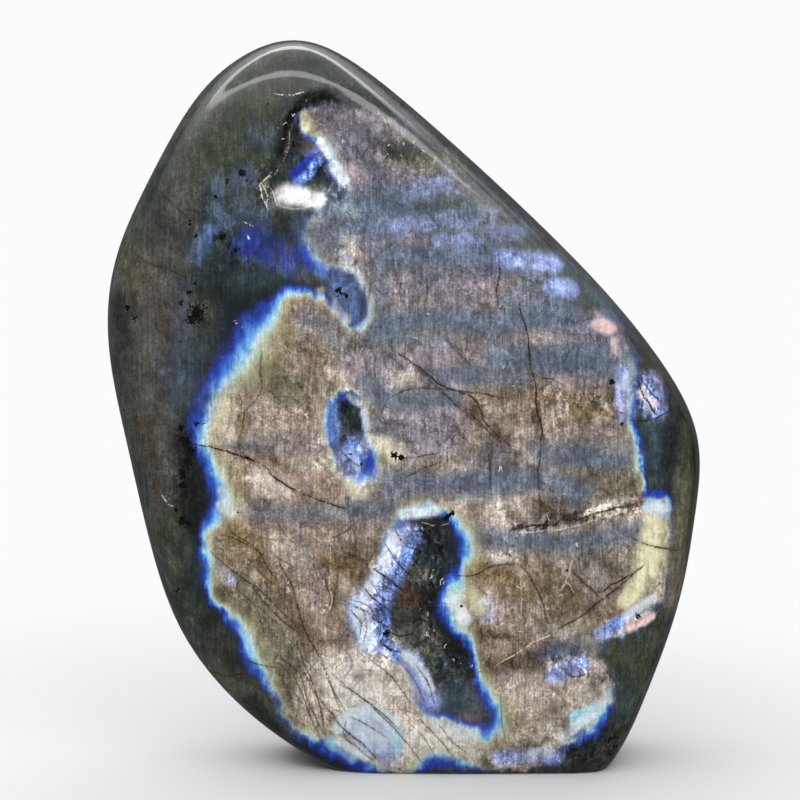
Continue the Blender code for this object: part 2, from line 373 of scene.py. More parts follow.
# %% Strokes of the bands and of the brown stone
BAND_STROKES = {
    "tan": [
        (46, 0.5, [(290, 430), (290, 560), (330, 600)]), (26, 0.5, [(300, 470), (330, 460)]),
        (30, 0.5, [(500, 690), (570, 700)]), (18, 0.5, [(310, 380), (330, 395)]),
    ],
    "mauve": [
        (34, 0.7, [(350, 150), (420, 240), (480, 275)]), (17, 0.8, [(384, 288), (440, 285), (484, 290)]),
        (15, 0.7, [(352, 360), (420, 354), (486, 350)]), (12, 0.6, [(500, 330), (612, 330)]),
        (14, 0.6, [(306, 318), (330, 335)]), (22, 0.8, [(392, 424), (450, 428)]),
        (20, 0.4, [(585, 560), (600, 575)]), (16, 0.5, [(420, 452), (500, 450)]),
        (14, 0.4, [(300, 540), (320, 590)]), (14, 0.5, [(548, 390), (612, 388)]),
        (12, 0.4, [(570, 432), (616, 430)]),
    ],
    "dusk": [
        (34, 0.6, [(340, 236), (420, 216), (500, 250)]), (26, 0.55, [(350, 150), (400, 190)]),
        (24, 0.6, [(520, 300), (600, 336)]), (18, 0.5, [(380, 352), (440, 344)]),
        (20, 0.35, [(400, 452), (500, 448)]), (18, 0.4, [(360, 250), (430, 268)]),
    ],
    "plum": [
        (26, 0.85, [(330, 118), (372, 128), (396, 140)]), (14, 0.6, [(350, 152), (384, 162)]),
        (12, 0.5, [(352, 182), (392, 184)]), (14, 0.6, [(540, 518), (566, 508)]),
    ],
    "ochre": [
        (12, 0.6, [(236, 470), (250, 560), (280, 600)]), (12, 0.6, [(232, 400), (238, 440)]),
        (14, 0.8, [(486, 574), (526, 590)]), (10, 0.6, [(500, 712), (540, 736)]),
        (12, 0.3, [(544, 402), (612, 404)]), (10, 0.5, [(264, 352), (286, 326)]),
        (12, 0.5, [(440, 470), (480, 440)]), (12, 0.5, [(346, 575), (366, 590)]),
        (14, 0.6, [(534, 560), (566, 600)]), (16, 0.5, [(226, 530), (250, 560)]),
    ],
    "umber": [
        (16, 0.8, [(284, 600), (302, 630), (306, 652)]), (10, 0.6, [(240, 450), (300, 462)]),
        (12, 0.7, [(540, 508), (566, 504)]), (9, 0.6, [(438, 386), (476, 412), (504, 440)]),
        (13, 1.0, [(492, 668), (530, 662), (556, 652)]), (10, 0.6, [(330, 560), (366, 560)]),
        (10, 0.5, [(536, 380), (541, 440)]), (10, 0.5, [(262, 560), (280, 600)]),
        (11, 0.6, [(566, 610), (620, 612)]), (8, 0.4, [(310, 400), (322, 350)]),
        (11, 0.6, [(488, 636), (520, 650)]), (12, 0.5, [(480, 396), (520, 392)]),
        (10, 0.4, [(580, 470), (630, 500)]), (9, 0.5, [(250, 392), (262, 350)]),
    ],
    "olive": [
        (22, 0.9, [(236, 592), (266, 636), (286, 684)]), (13, 0.8, [(686, 480), (682, 540), (672, 596)]),
        (14, 0.7, [(286, 700), (300, 722)]), (14, 0.6, [(312, 342), (400, 342)]),
        (14, 0.6, [(300, 372), (330, 390)]), (20, 1.0, [(262, 366), (290, 392)]),
        (14, 0.6, [(560, 620), (600, 640)]), (20, 0.6, [(585, 480), (630, 484)]),
        (12, 0.5, [(534, 540), (570, 560)]), (14, 0.5, [(344, 600), (350, 640)]),
        (12, 0.2, [(516, 400), (600, 396)]), (12, 0.5, [(560, 590), (580, 600)]),
        (10, 0.5, [(384, 470), (400, 440)]),
    ],
    "slate": [
        (19, 0.85, [(376, 326), (440, 316), (500, 322), (570, 306)]),
        (17, 0.9, [(500, 358), (575, 360), (624, 366)]), (16, 0.8, [(430, 376), (520, 372)]),
        (14, 0.8, [(540, 452), (590, 456), (634, 458)]), (15, 0.85, [(385, 484), (460, 484), (540, 480)]),
        (12, 0.6, [(250, 508), (290, 514), (330, 514)]), (16, 0.7, [(350, 510), (392, 506)]),
        (20, 0.85, [(330, 208), (400, 206), (470, 202)]), (14, 0.8, [(380, 254), (490, 256)]),
        (16, 0.7, [(345, 225), (390, 230)]), (14, 0.6, [(324, 216), (338, 240)]),
        (12, 0.6, [(374, 262), (378, 306)]), (16, 0.8, [(366, 386), (400, 398), (450, 396)]),
        (12, 0.8, [(470, 536), (560, 541), (632, 532)]), (14, 0.7, [(316, 236), (322, 250)]),
        (22, 0.8, [(500, 240), (560, 290)]), (24, 0.25, [(506, 694), (580, 694)]),
        (14, 0.7, [(440, 700), (474, 700)]), (12, 0.4, [(310, 320), (345, 345)]),
        (18, 0.7, [(556, 268), (604, 316)]), (13, 0.4, [(240, 442), (330, 444)]),
        (16, 0.8, [(556, 484), (580, 490)]), (10, 0.5, [(556, 648), (590, 644)]),
        (14, 0.5, [(352, 420), (392, 440)]), (20, 0.6, [(430, 228), (520, 236)]),
    ],
    "amber": [
        (10, 0.35, [(486, 392), (540, 398), (606, 392)]), (6, 0.5, [(566, 408), (600, 412)]),
        (10, 0.2, [(545, 412), (605, 422)]), (10, 0.6, [(325, 562), (367, 577)]),
        (9, 0.4, [(228, 532), (262, 548)]), (8, 0.6, [(242, 400), (240, 432)]),
        (9, 0.6, [(470, 572), (505, 570)]), (9, 0.5, [(480, 745), (506, 748)]),
        (9, 0.5, [(330, 585), (340, 620)]),
    ],
}
print("strokes of the bands:", sum(len(strokes) for strokes in BAND_STROKES.values()))

# %% [markdown]
# The body round the flash isn't one grey either. Iron tints it, blue light leaks into it near the flash, and
# smoky dark patches lie in it. Painted shade darkens it towards the edges of the hollows, along the foot and
# down the right edge.

# %% Strokes of the dark body
BODY_STROKES = {
    "taupe": [
        (20, 0.8, [(186, 172), (180, 214)]), (34, 0.85, [(142, 270), (150, 330), (158, 400)]),
        (15, 0.9, [(164, 430), (166, 490)]), (14, 0.5, [(160, 510), (176, 560)]),
        (16, 0.5, [(150, 222), (176, 262)]), (20, 0.5, [(216, 640), (240, 690)]),
        (16, 0.5, [(636, 670), (648, 690)]), (14, 0.6, [(400, 620), (424, 646)]),
        (10, 0.7, [(410, 572), (434, 580)]), (12, 0.5, [(596, 560), (624, 572)]),
    ],
    "moss": [
        (12, 0.7, [(424, 154), (484, 208), (542, 258), (592, 306)]), (8, 0.5, [(420, 206), (444, 207)]),
        (13, 0.9, [(396, 156), (428, 160), (456, 172)]), (9, 0.7, [(436, 196), (456, 200)]),
        (24, 0.8, [(180, 530), (196, 600)]), (26, 0.6, [(228, 668), (262, 712)]),
        (34, 0.5, [(640, 660), (620, 720)]), (34, 0.7, [(252, 100), (225, 165)]),
        (20, 0.7, [(612, 650), (640, 660)]), (14, 0.5, [(134, 232), (128, 270)]),
        (10, 0.8, [(688, 430), (688, 474)]), (12, 0.5, [(424, 155), (456, 170)]),
    ],
    "rust": [
        (12, 0.5, [(140, 424), (148, 452)]), (10, 0.45, [(150, 478), (158, 500)]),
        (10, 0.9, [(406, 594), (416, 602)]), (8, 0.8, [(640, 368), (664, 378)]),
        (12, 0.35, [(128, 250), (137, 290)]), (12, 0.35, [(166, 318), (174, 342)]),
        (7, 0.5, [(400, 152), (440, 150)]), (7, 0.4, [(530, 505), (560, 500)]),
        (5, 0.5, [(535, 404), (540, 438)]),
    ],
    "teal": [
        (16, 0.9, [(652, 432), (654, 476)]), (18, 0.8, [(440, 540), (450, 566)]),
        (18, 0.8, [(452, 676), (466, 706)]), (20, 0.4, [(190, 540), (200, 600)]),
        (12, 0.7, [(346, 410), (352, 436)]), (24, 0.6, [(226, 210), (270, 268)]),
        (22, 0.6, [(190, 352), (184, 402)]), (14, 0.5, [(610, 720), (624, 700)]),
        (16, 0.5, [(210, 280), (250, 282)]),
    ],
    "haze": [
        (13, 0.6, [(220, 186), (246, 176)]), (8, 0.7, [(212, 208), (228, 222)]),
        (9, 0.6, [(206, 230), (196, 256)]), (12, 0.4, [(240, 205), (262, 215)]),
        (14, 0.35, [(254, 136), (276, 142)]), (9, 0.6, [(300, 222), (304, 242)]),
        (12, 0.5, [(282, 262), (300, 276)]), (9, 0.3, [(184, 280), (180, 345)]),
        (20, 0.3, [(176, 372), (200, 392)]), (18, 0.9, [(344, 284), (352, 312)]),
        (10, 0.6, [(452, 176), (416, 186)]), (10, 0.6, [(545, 655), (580, 650)]),
    ],
    # Near-black: smoky dark stone in the islands and spots, and painted shade on the top wall of the upper
    # hollow, along the foot and down the right edge.
    "smoke": [
        (9, 1.0, [(288, 130), (302, 106), (324, 94), (360, 98), (386, 108)]),
        (9, 0.9, [(280, 150), (288, 128)]), (14, 0.8, [(300, 142), (312, 152), (320, 176)]),
        (6, 0.7, [(694, 415), (697, 480), (690, 570)]), (14, 0.6, [(206, 296), (240, 300), (262, 306)]),
        (16, 1.0, [(190, 440), (193, 480), (196, 525)]), (10, 0.5, [(206, 620), (232, 664)]),
        (8, 0.7, [(252, 700), (282, 742)]), (9, 0.8, [(292, 752), (352, 772)]),
        (11, 0.8, [(392, 150), (436, 146)]), (6, 0.55, [(515, 527), (546, 522), (579, 516)]),
        (5, 0.35, [(584, 518), (640, 505)]), (13, 0.8, [(344, 402), (352, 424)]),
        (20, 0.8, [(425, 530), (440, 546)]), (20, 0.8, [(436, 600), (456, 640), (462, 664)]),
        (6, 0.9, [(637, 380), (633, 410)]), (16, 0.8, [(580, 752), (604, 742)]),
        (8, 0.6, [(670, 430), (664, 486)]), (6, 0.6, [(446, 566), (438, 590)]),
        (8, 0.7, [(384, 612), (392, 628)]), (9, 0.7, [(464, 764), (486, 768)]),
        (9, 0.6, [(118, 300), (126, 340)]), (8, 0.8, [(384, 645), (396, 650)]),
        (6, 0.6, [(222, 238), (236, 252)]), (22, 0.4, [(176, 540), (190, 600)]),
    ],
}
print("strokes of the body:", sum(len(strokes) for strokes in BODY_STROKES.values()))

# %% [markdown]
# Small patches light up in lavender, ice, gold or rose, where the sheets happen to face the light. Pure
# white whitens the brightest flash. It is also a painted highlight on the lower wall of the upper hollow,
# where the polish mirrors the lamps.

# %% Strokes of the bright patches
BRIGHT_STROKES = {
    "cream": [
        (16, 1.0, [(362, 660), (396, 662), (406, 690)]), (12, 0.9, [(398, 736), (414, 752)]),
        (20, 1.0, [(334, 676), (344, 698), (376, 696)]), (12, 0.7, [(262, 476), (280, 490)]),
        (9, 0.5, [(300, 462), (330, 462)]), (12, 0.5, [(280, 546), (300, 560)]),
        (8, 0.25, [(444, 506), (516, 504)]), (20, 1.0, [(408, 730), (440, 740), (466, 742)]),
        (9, 0.7, [(372, 442), (398, 450)]), (10, 0.5, [(230, 410), (226, 436)]),
        (9, 0.5, [(236, 505), (244, 514)]), (10, 0.5, [(318, 668), (330, 690)]),
        (14, 0.5, [(380, 640), (400, 660)]), (8, 0.35, [(346, 242), (352, 252)]),
        (8, 0.5, [(596, 510), (626, 504)]), (10, 0.5, [(510, 735), (560, 730)]),
        (26, 0.4, [(506, 700), (580, 698)]), (14, 0.35, [(300, 700), (316, 718)]),
    ],
    "lavender": [
        (10, 0.3, [(416, 187), (456, 186)]), (7, 0.4, [(372, 226), (404, 225)]),
        (7, 0.45, [(404, 222), (430, 226)]), (9, 0.3, [(448, 218), (490, 216)]),
        (6, 0.55, [(458, 238), (478, 240)]), (10, 0.9, [(504, 258), (552, 264)]),
        (9, 0.9, [(552, 287), (570, 288)]), (8, 0.4, [(492, 230), (518, 234)]),
        (8, 0.4, [(440, 240), (450, 240)]), (10, 0.8, [(626, 374), (624, 392), (627, 412)]),
        (7, 0.9, [(600, 634), (620, 622)]), (8, 1.0, [(552, 676), (582, 664)]),
        (13, 1.0, [(404, 536), (392, 564), (378, 592)]), (15, 1.0, [(362, 606), (366, 624), (372, 640)]),
        (8, 0.9, [(396, 652), (416, 664)]), (9, 0.9, [(414, 668), (432, 704)]),
        (16, 1.0, [(366, 732), (386, 748)]), (8, 0.9, [(500, 757), (556, 756)]),
        (6, 0.5, [(216, 566), (230, 580)]), (8, 0.5, [(486, 604), (490, 616)]),
        (11, 0.8, [(648, 384), (655, 406)]), (14, 0.9, [(352, 452), (360, 472)]),
        (6, 0.7, [(330, 410), (334, 436)]),
    ],
    "azure": [
        (12, 0.5, [(340, 288), (352, 312)]), (5, 1.0, [(318, 160), (307, 174), (298, 181)]),
        (6, 0.7, [(414, 540), (402, 566), (390, 590)]), (6, 0.8, [(384, 604), (384, 640), (396, 656)]),
        (2, 0.9, [(356, 718), (384, 738)]), (2, 0.8, [(350, 724), (372, 744)]),
        (2, 0.8, [(366, 714), (390, 730)]), (8, 0.35, [(210, 232), (198, 256)]),
        (12, 0.3, [(346, 296), (356, 316)]), (10, 0.7, [(350, 448), (366, 470)]),
        (9, 0.9, [(576, 734), (592, 722)]), (6, 0.9, [(652, 506), (662, 514)]),
        (8, 0.7, [(312, 256), (320, 270)]), (7, 0.8, [(330, 404), (332, 440)]),
        (6, 0.7, [(606, 630), (640, 610)]), (5, 0.6, [(630, 420), (637, 450)]),
    ],
    "deep_blue": [
        (5, 0.9, [(316, 150), (304, 164), (294, 174)]), (17, 0.6, [(250, 242), (286, 256)]),
        (8, 0.9, [(326, 744), (362, 764)]), (6, 0.7, [(428, 764), (452, 762)]),
        (7, 0.6, [(368, 462), (372, 472)]), (5, 0.9, [(645, 494), (661, 495)]),
        (6, 0.7, [(308, 248), (312, 266)]), (6, 0.8, [(572, 732), (584, 734)]),
        (6, 0.4, [(404, 690), (424, 706)]), (6, 0.6, [(344, 396), (350, 400)]),
    ],
    "cyan": [
        (8, 1.0, [(576, 718), (596, 710)]), (6, 0.7, [(330, 742), (352, 757)]),
        (5, 0.7, [(462, 584), (455, 600)]), (5, 0.6, [(242, 628), (256, 658)]),
        (6, 0.7, [(650, 504), (664, 508)]),
        (7, 1.0, [(344, 726), (352, 716), (374, 712), (394, 728), (396, 748)]),
    ],
    "gold": [
        (13, 1.0, [(653, 524), (651, 556), (642, 582)]), (9, 1.0, [(642, 580), (626, 600)]),
        (10, 0.6, [(468, 594), (480, 606)]), (10, 0.35, [(396, 748), (410, 760)]),
        (8, 0.4, [(226, 402), (220, 430)]), (6, 0.6, [(222, 505), (232, 512)]),
        (6, 0.4, [(322, 292), (346, 320)]), (6, 0.7, [(304, 116), (306, 128)]),
        (9, 0.5, [(350, 484), (362, 492)]), (8, 0.6, [(384, 446), (392, 456)]),
    ],
    "ice": [
        (4, 1.0, [(321, 142), (330, 156)]), (6, 1.0, [(335, 166), (344, 179)]),
        (7, 0.9, [(452, 600), (466, 620)]), (7, 1.0, [(338, 728), (352, 716), (374, 712), (394, 726)]),
        (5, 0.9, [(340, 742), (366, 757)]), (6, 0.9, [(648, 508), (662, 508)]),
        (5, 0.9, [(628, 616), (652, 598)]), (7, 0.7, [(436, 728), (474, 734)]),
        (4, 0.5, [(340, 263), (356, 271), (368, 292), (371, 314), (360, 329)]),
        (5, 0.8, [(348, 262), (342, 254)]), (5, 0.8, [(604, 688), (610, 700)]),
        (6, 0.7, [(528, 758), (552, 748)]), (5, 0.8, [(608, 694), (594, 712), (570, 732), (546, 748)]),
        (6, 0.8, [(404, 514), (436, 510)]), (4, 0.8, [(350, 396), (358, 404)]),
        (4, 0.8, [(364, 412), (368, 428)]), (5, 0.7, [(222, 490), (230, 512)]),
        (4, 0.8, [(626, 618), (644, 622)]), (4, 0.8, [(644, 388), (650, 408)]),
        (5, 0.2, [(202, 224), (196, 250)]), (5, 0.7, [(560, 738), (574, 726)]),
        (5, 0.8, [(404, 654), (420, 668), (430, 690)]), (4, 0.7, [(548, 680), (560, 684)]),
        (8, 0.35, [(320, 208), (352, 212)]),
    ],
    "rose": [
        (5, 0.5, [(591, 312), (596, 318)]), (7, 0.9, [(597, 324), (609, 328)]),
        (4, 0.6, [(613, 340), (617, 352)]), (5, 0.9, [(628, 628), (650, 616)]),
        (10, 0.25, [(404, 354), (446, 358)]), (4, 0.8, [(640, 392), (654, 404)]),
        (7, 0.3, [(352, 170), (360, 178)]), (12, 0.3, [(262, 478), (300, 486)]),
    ],
    "pearl": [
        (14, 1.0, [(364, 728), (380, 742)]), (6, 1.0, [(394, 536), (384, 562), (370, 590)]),
        (10, 1.0, [(358, 606), (366, 640)]), (4, 0.9, [(626, 374), (624, 386)]),
        (3, 0.7, [(556, 286), (568, 289)]), (3, 0.6, [(516, 264), (546, 268)]),
        (4, 0.6, [(350, 452), (358, 466)]),
    ],
    # Pure white: the first two strokes are a painted highlight in the upper hollow, and the rest whiten the
    # brightest flash.
    "gleam": [
        (10, 1.0, [(286, 194), (304, 197)]), (7, 0.9, [(300, 199), (320, 201)]),
        (5, 0.4, [(350, 728), (372, 722)]), (6, 0.5, [(434, 742), (456, 744)]),
        (5, 0.7, [(456, 602), (466, 616)]), (14, 0.4, [(362, 728), (382, 744)]),
        (20, 0.35, [(350, 690), (372, 694)]), (14, 0.35, [(404, 734), (450, 742)]),
        (7, 0.45, [(398, 540), (382, 566), (364, 604), (366, 636)]), (9, 0.4, [(350, 668), (380, 676)]),
    ],
}
print("strokes of the patches:", sum(len(strokes) for strokes in BRIGHT_STROKES.values()))

# %% [markdown]
# Two more lists of strokes say where glints crowd together and where the stone is crumbled under its polish.
# All strokes are then turned into one cover for each colour. Narrow strokes have a harder edge than wide
# ones.

# %% Glinting and crumbled places, and the covers
SPARKLES = [
    (9, 0.9, [(300, 592), (312, 616)]), (6, 1.0, [(328, 578), (328, 620)]),
    (5, 1.0, [(516, 390), (518, 408)]), (6, 0.9, [(522, 570), (521, 632)]),
    (8, 0.9, [(574, 546), (562, 592)]), (9, 0.9, [(434, 574), (432, 640)]),
    (14, 0.6, [(484, 444), (500, 470)]), (12, 0.7, [(250, 470), (290, 486)]),
    (14, 0.7, [(256, 560), (300, 590)]), (9, 0.6, [(240, 334), (252, 350)]),
    (7, 0.8, [(284, 142), (290, 110)]), (6, 0.7, [(250, 238), (240, 250)]),
    (12, 0.6, [(590, 512), (632, 506)]), (10, 0.6, [(444, 652), (462, 664)]),
    (5, 0.6, [(460, 174), (468, 184)]),
]
CRUMBLED = [
    (22, 1.0, [(424, 530), (430, 580), (436, 640), (452, 664)]),
    (16, 0.9, [(390, 560), (372, 612), (386, 648)]),
    (12, 1.0, [(290, 124), (302, 106), (340, 94), (386, 106)]),
    (18, 0.9, [(302, 140), (316, 164), (330, 190)]), (14, 0.8, [(264, 176), (268, 204)]),
    (12, 0.9, [(644, 384), (652, 410)]), (7, 0.9, [(516, 530), (640, 505)]),
    (14, 0.8, [(392, 150), (450, 156)]), (16, 1.0, [(572, 750), (606, 744)]),
    (9, 0.9, [(626, 626), (650, 614)]), (12, 0.7, [(346, 396), (350, 440)]),
    (14, 0.6, [(352, 456), (364, 474)]), (10, 0.5, [(342, 252), (350, 268)]),
    (12, 0.6, [(186, 440), (186, 490)]), (14, 0.5, [(220, 240), (240, 250)]),
    (10, 0.6, [(556, 662), (584, 668)]), (16, 0.4, [(320, 206), (350, 214)]),
    (10, 0.5, [(540, 400), (610, 402)]), (14, 0.5, [(586, 712), (566, 738)]),
]
WIDE_STROKE_PX = 10
SOFTNESS = {"wide": 0.85, "narrow": 0.55}


def brushed(strokes):
    """How strongly a colour's strokes cover each point, from 0 to 1."""
    cover = np.zeros(len(places))
    for half_width, strength, points in strokes:
        gap = from_line(places, rounded(points))[0]
        softness = SOFTNESS["wide" if half_width > WIDE_STROKE_PX else "narrow"]
        near, far = half_width * (1 - softness), half_width * (1 + softness)
        cover = np.maximum(cover, strength * (1 - smooth_step(near, far, gap)))
    return cover


veils = {**BAND_STROKES, **BODY_STROKES, **BRIGHT_STROKES}
for name, strokes in {**veils, "sparkle": SPARKLES, "crumbled": CRUMBLED}.items():
    keep(name, np.where(behind, BACK_VEILS.get(name, 0.0) * back_share, brushed(strokes)))
print("veils:", len(veils))

# %% [markdown]
# ## Cracks, white veins and painted glints
#
# Old cracks, healed long ago, cross the stone as thin dark lines, and a few show as bright threads. Some
# short bright lines are painted glints, on the chipped edge of the upper hollow and on the left body. The
# distance from the nearest crack keeps its sign, so that the line lies sharp between two points of the net.
# Far from the line that sign can flip, so the plain distance is kept too, to blank what isn't near. Lines
# that come close to one another go to different sets, because the sign would also flip between them. Each
# line is half its width, its strength, and its pixels.

# %% Lines of the cracks and veins
CRACKS = [
    (0.9, 0.9, [(498, 255), (500, 272), (497, 288), (498, 306)]),
    (1.0, 1.0, [(517, 293), (520, 310), (526, 330), (529, 350), (531, 370), (536, 388), (536, 405),
                (541, 425), (541, 450), (538, 475), (541, 505)]),
    (0.8, 0.8, [(533, 381), (548, 378), (562, 384)]),
    (1.2, 0.9, [(400, 354), (418, 366), (436, 381), (452, 390), (475, 400), (486, 424), (508, 444)]),
    (1.0, 0.7, [(455, 400), (476, 418), (494, 437), (512, 446)]),
    (1.1, 1.0, [(176, 430), (190, 442), (217, 449), (247, 458), (264, 465), (278, 480), (306, 495),
                (344, 508)]),
    (0.7, 0.8, [(211, 552), (226, 566), (240, 576), (262, 592), (282, 612), (296, 626), (300, 640)]),
    (0.7, 0.8, [(232, 533), (258, 550), (272, 575), (292, 588)]),
    (0.8, 0.9, [(296, 642), (306, 668), (318, 698), (326, 735)]),
    (0.7, 0.7, [(318, 648), (330, 680), (340, 712)]),
    (0.7, 0.8, [(290, 668), (300, 690), (312, 720), (322, 742)]),
    (0.8, 0.8, [(340, 684), (364, 699), (388, 722), (404, 740), (420, 760)]),
    (0.7, 0.8, [(368, 658), (392, 677), (410, 703)]), (0.7, 0.8, [(422, 722), (440, 740), (456, 760)]),
    (1.4, 1.0, [(515, 529), (530, 526), (553, 525), (562, 520), (578, 520)]),
    (1.1, 0.9, [(578, 520), (594, 514), (606, 511), (617, 508), (628, 506), (640, 502)]),
    (0.9, 0.9, [(574, 574), (588, 586), (602, 600)]),
    (1.0, 0.9, [(644, 565), (622, 584), (602, 600), (578, 618), (556, 630)]),
    (1.0, 1.0, [(634, 539), (652, 546), (675, 550)]),
    (0.9, 0.9, [(459, 576), (476, 575), (490, 567), (514, 564), (526, 571), (540, 596), (548, 624)]),
    (0.9, 0.8, [(631, 420), (650, 420), (672, 410)]),
    (1.2, 0.6, [(160, 192), (172, 204), (188, 218), (192, 226)]),
    (1.2, 0.6, [(132, 250), (146, 262), (166, 268), (184, 277)]),
    (0.8, 0.8, [(240, 657), (256, 664), (278, 668)]), (0.7, 0.7, [(402, 480), (420, 470), (440, 462)]),
    (0.7, 0.6, [(488, 458), (490, 476), (492, 500)]), (0.8, 0.8, [(340, 560), (336, 585), (332, 612)]),
    (0.7, 0.8, [(352, 600), (368, 606), (380, 622), (398, 632)]),
    (0.7, 0.8, [(370, 580), (382, 598), (398, 602)]), (1.0, 0.9, [(386, 630), (400, 636), (412, 634)]),
    (0.7, 0.7, [(240, 395), (244, 415), (240, 436)]), (0.8, 0.7, [(424, 305), (428, 292), (426, 268)]),
    (0.7, 0.7, [(365, 286), (362, 306), (360, 322)]), (0.7, 0.8, [(385, 108), (386, 120), (392, 136)]),
    (0.7, 0.8, [(222, 535), (237, 539), (252, 548), (270, 558)]),
    (0.9, 0.9, [(281, 566), (291, 584), (297, 604), (302, 624), (310, 640), (316, 650), (324, 668),
                (339, 706)]),
    (0.8, 0.8, [(297, 655), (301, 675), (306, 696), (314, 714), (324, 734)]),
    (0.9, 0.9, [(305, 673), (315, 693), (329, 711), (344, 729), (362, 744), (375, 757)]),
    (0.7, 0.8, [(321, 655), (329, 681), (342, 706)]),
    (0.8, 0.9, [(334, 675), (352, 691), (367, 701), (383, 714), (398, 729)]),
    (0.7, 0.7, [(312, 563), (321, 584)]), (0.7, 0.8, [(332, 538), (344, 533), (357, 522)]),
    (0.8, 0.9, [(349, 604), (367, 612), (378, 622), (385, 619)]),
    (0.7, 0.6, [(262, 540), (276, 556), (292, 566)]), (0.7, 0.6, [(250, 560), (266, 578), (284, 590)]),
    (0.7, 0.6, [(238, 590), (256, 606), (280, 626)]), (0.7, 0.6, [(276, 520), (286, 536), (300, 548)]),
    (0.7, 0.7, [(398, 660), (412, 676), (424, 700)]), (0.7, 0.7, [(408, 722), (424, 738), (436, 758)]),
    (0.7, 0.6, [(440, 726), (452, 742), (466, 752)]), (0.8, 0.7, [(204, 345), (207, 330), (210, 316)]),
    (0.7, 0.5, [(203, 384), (205, 366), (205, 350)]),
    (0.8, 0.8, [(262, 352), (260, 372), (262, 388), (254, 402), (244, 412), (243, 432)]),
    (0.7, 0.6, [(268, 390), (282, 402), (294, 414)]), (0.9, 0.7, [(154, 530), (166, 538), (182, 552)]),
    (1.0, 0.8, [(212, 672), (228, 676), (248, 673)]), (0.8, 0.6, [(218, 690), (236, 700), (256, 706)]),
    (0.9, 0.8, [(253, 588), (266, 604), (284, 622), (300, 634)]),
    (0.8, 0.7, [(278, 655), (292, 666), (304, 674), (318, 660)]),
    (0.8, 0.7, [(430, 676), (446, 672), (462, 674), (480, 672)]),
    (0.7, 0.7, [(602, 546), (604, 560), (612, 578)]), (1.1, 0.9, [(390, 618), (402, 621), (412, 622)]),
    (0.8, 0.8, [(386, 545), (394, 556), (404, 566)]),
    (0.8, 0.8, [(376, 604), (384, 614), (380, 630), (382, 646)]),
    (0.8, 0.7, [(388, 400), (382, 412), (386, 424)]),
    (0.8, 0.7, [(390, 398), (406, 390), (424, 388), (440, 390)]),
    (1.1, 0.8, [(438, 388), (462, 392), (484, 394), (504, 398)]),
    (1.2, 0.7, [(404, 356), (422, 372), (440, 390), (462, 410), (484, 428), (504, 442)]),
    (0.8, 0.6, [(446, 340), (458, 352), (470, 364)]), (0.8, 0.6, [(376, 356), (374, 368), (376, 380)]),
    (0.8, 0.6, [(400, 284), (400, 296), (406, 306)]), (0.7, 0.6, [(464, 276), (478, 286), (490, 296)]),
    (0.8, 0.7, [(404, 458), (424, 456), (440, 452)]), (0.8, 0.6, [(488, 444), (490, 466), (492, 492)]),
    (0.8, 0.7, [(346, 648), (352, 664), (346, 676)]), (0.7, 0.7, [(560, 668), (570, 674), (578, 678)]),
    (0.8, 0.7, [(600, 664), (612, 678), (618, 690)]), (0.8, 0.6, [(500, 690), (502, 720), (506, 744)]),
    (1.1, 1.0, [(638, 378), (642, 392), (650, 404), (656, 414)]),
    (0.9, 0.9, [(646, 384), (652, 394), (662, 402)]),
    (1.4, 0.9, [(640, 568), (626, 578), (612, 584), (604, 592)]),
    (0.8, 0.8, [(408, 552), (398, 562), (404, 574)]), (0.8, 0.8, [(376, 586), (390, 588), (402, 596)]),
    (0.8, 0.8, [(352, 606), (364, 612), (366, 628), (364, 642)]),
    (0.8, 0.8, [(352, 718), (366, 724), (384, 736)]),
    (0.8, 0.8, [(346, 722), (344, 736), (358, 748), (372, 760)]),
    (1.2, 1.0, [(376, 570), (390, 580), (402, 590)]), (1.2, 1.0, [(366, 590), (378, 602), (392, 612)]),
    (1.0, 1.0, [(392, 556), (402, 568), (412, 576)]), (1.0, 1.0, [(396, 532), (404, 544), (416, 550)]),
    (1.2, 1.0, [(380, 640), (388, 648), (398, 652)]), (1.0, 0.9, [(352, 612), (360, 620), (360, 632)]),
    (1.0, 0.9, [(342, 452), (350, 460), (362, 468)]), (0.9, 0.9, [(418, 668), (428, 684), (434, 702)]),
    (1.0, 0.9, [(562, 668), (572, 676), (584, 674)]),
]
# White veins. The short lines on the chipped edge of the upper hollow and the white specks on the left body
# are painted glints.
VEINS_AND_GLINTS = [
    (1.0, 1.0, [(258, 187), (264, 180), (271, 174)]), (1.1, 1.0, [(260, 187), (263, 197), (267, 207)]),
    (0.9, 1.0, [(276, 94), (290, 95), (304, 92)]),
    (0.8, 1.0, [(498, 664), (516, 654), (530, 644), (548, 636), (556, 630)]),
    (0.8, 0.7, [(330, 545), (331, 566), (329, 584), (332, 602), (324, 620)]),
    (0.7, 0.6, [(243, 400), (242, 420)]), (0.9, 0.6, [(574, 545), (572, 560), (566, 580), (560, 590)]),
    (0.7, 0.7, [(262, 183), (268, 196), (266, 205)]), (0.6, 0.7, [(264, 182), (272, 190), (276, 204)]),
    (0.6, 0.4, [(262, 183), (276, 172), (288, 150), (290, 128)]),
    (0.6, 0.5, [(420, 522), (436, 526), (448, 524)]), (0.7, 0.6, [(520, 575), (521, 590), (521, 615)]),
    (0.8, 0.8, [(520, 533), (546, 531), (576, 526), (600, 518), (632, 509)]),
    (0.7, 0.9, [(163, 496), (167, 503), (172, 506)]), (0.7, 0.9, [(170, 495), (168, 501)]),
    (0.7, 0.8, [(573, 592), (567, 582), (562, 590)]), (0.7, 0.8, [(244, 222), (252, 226)]),
    (0.6, 0.8, [(234, 322), (241, 326)]), (0.7, 0.8, [(402, 458), (408, 454)]),
    (0.6, 0.9, [(558, 632), (566, 640)]),
]
APART_PX = 9


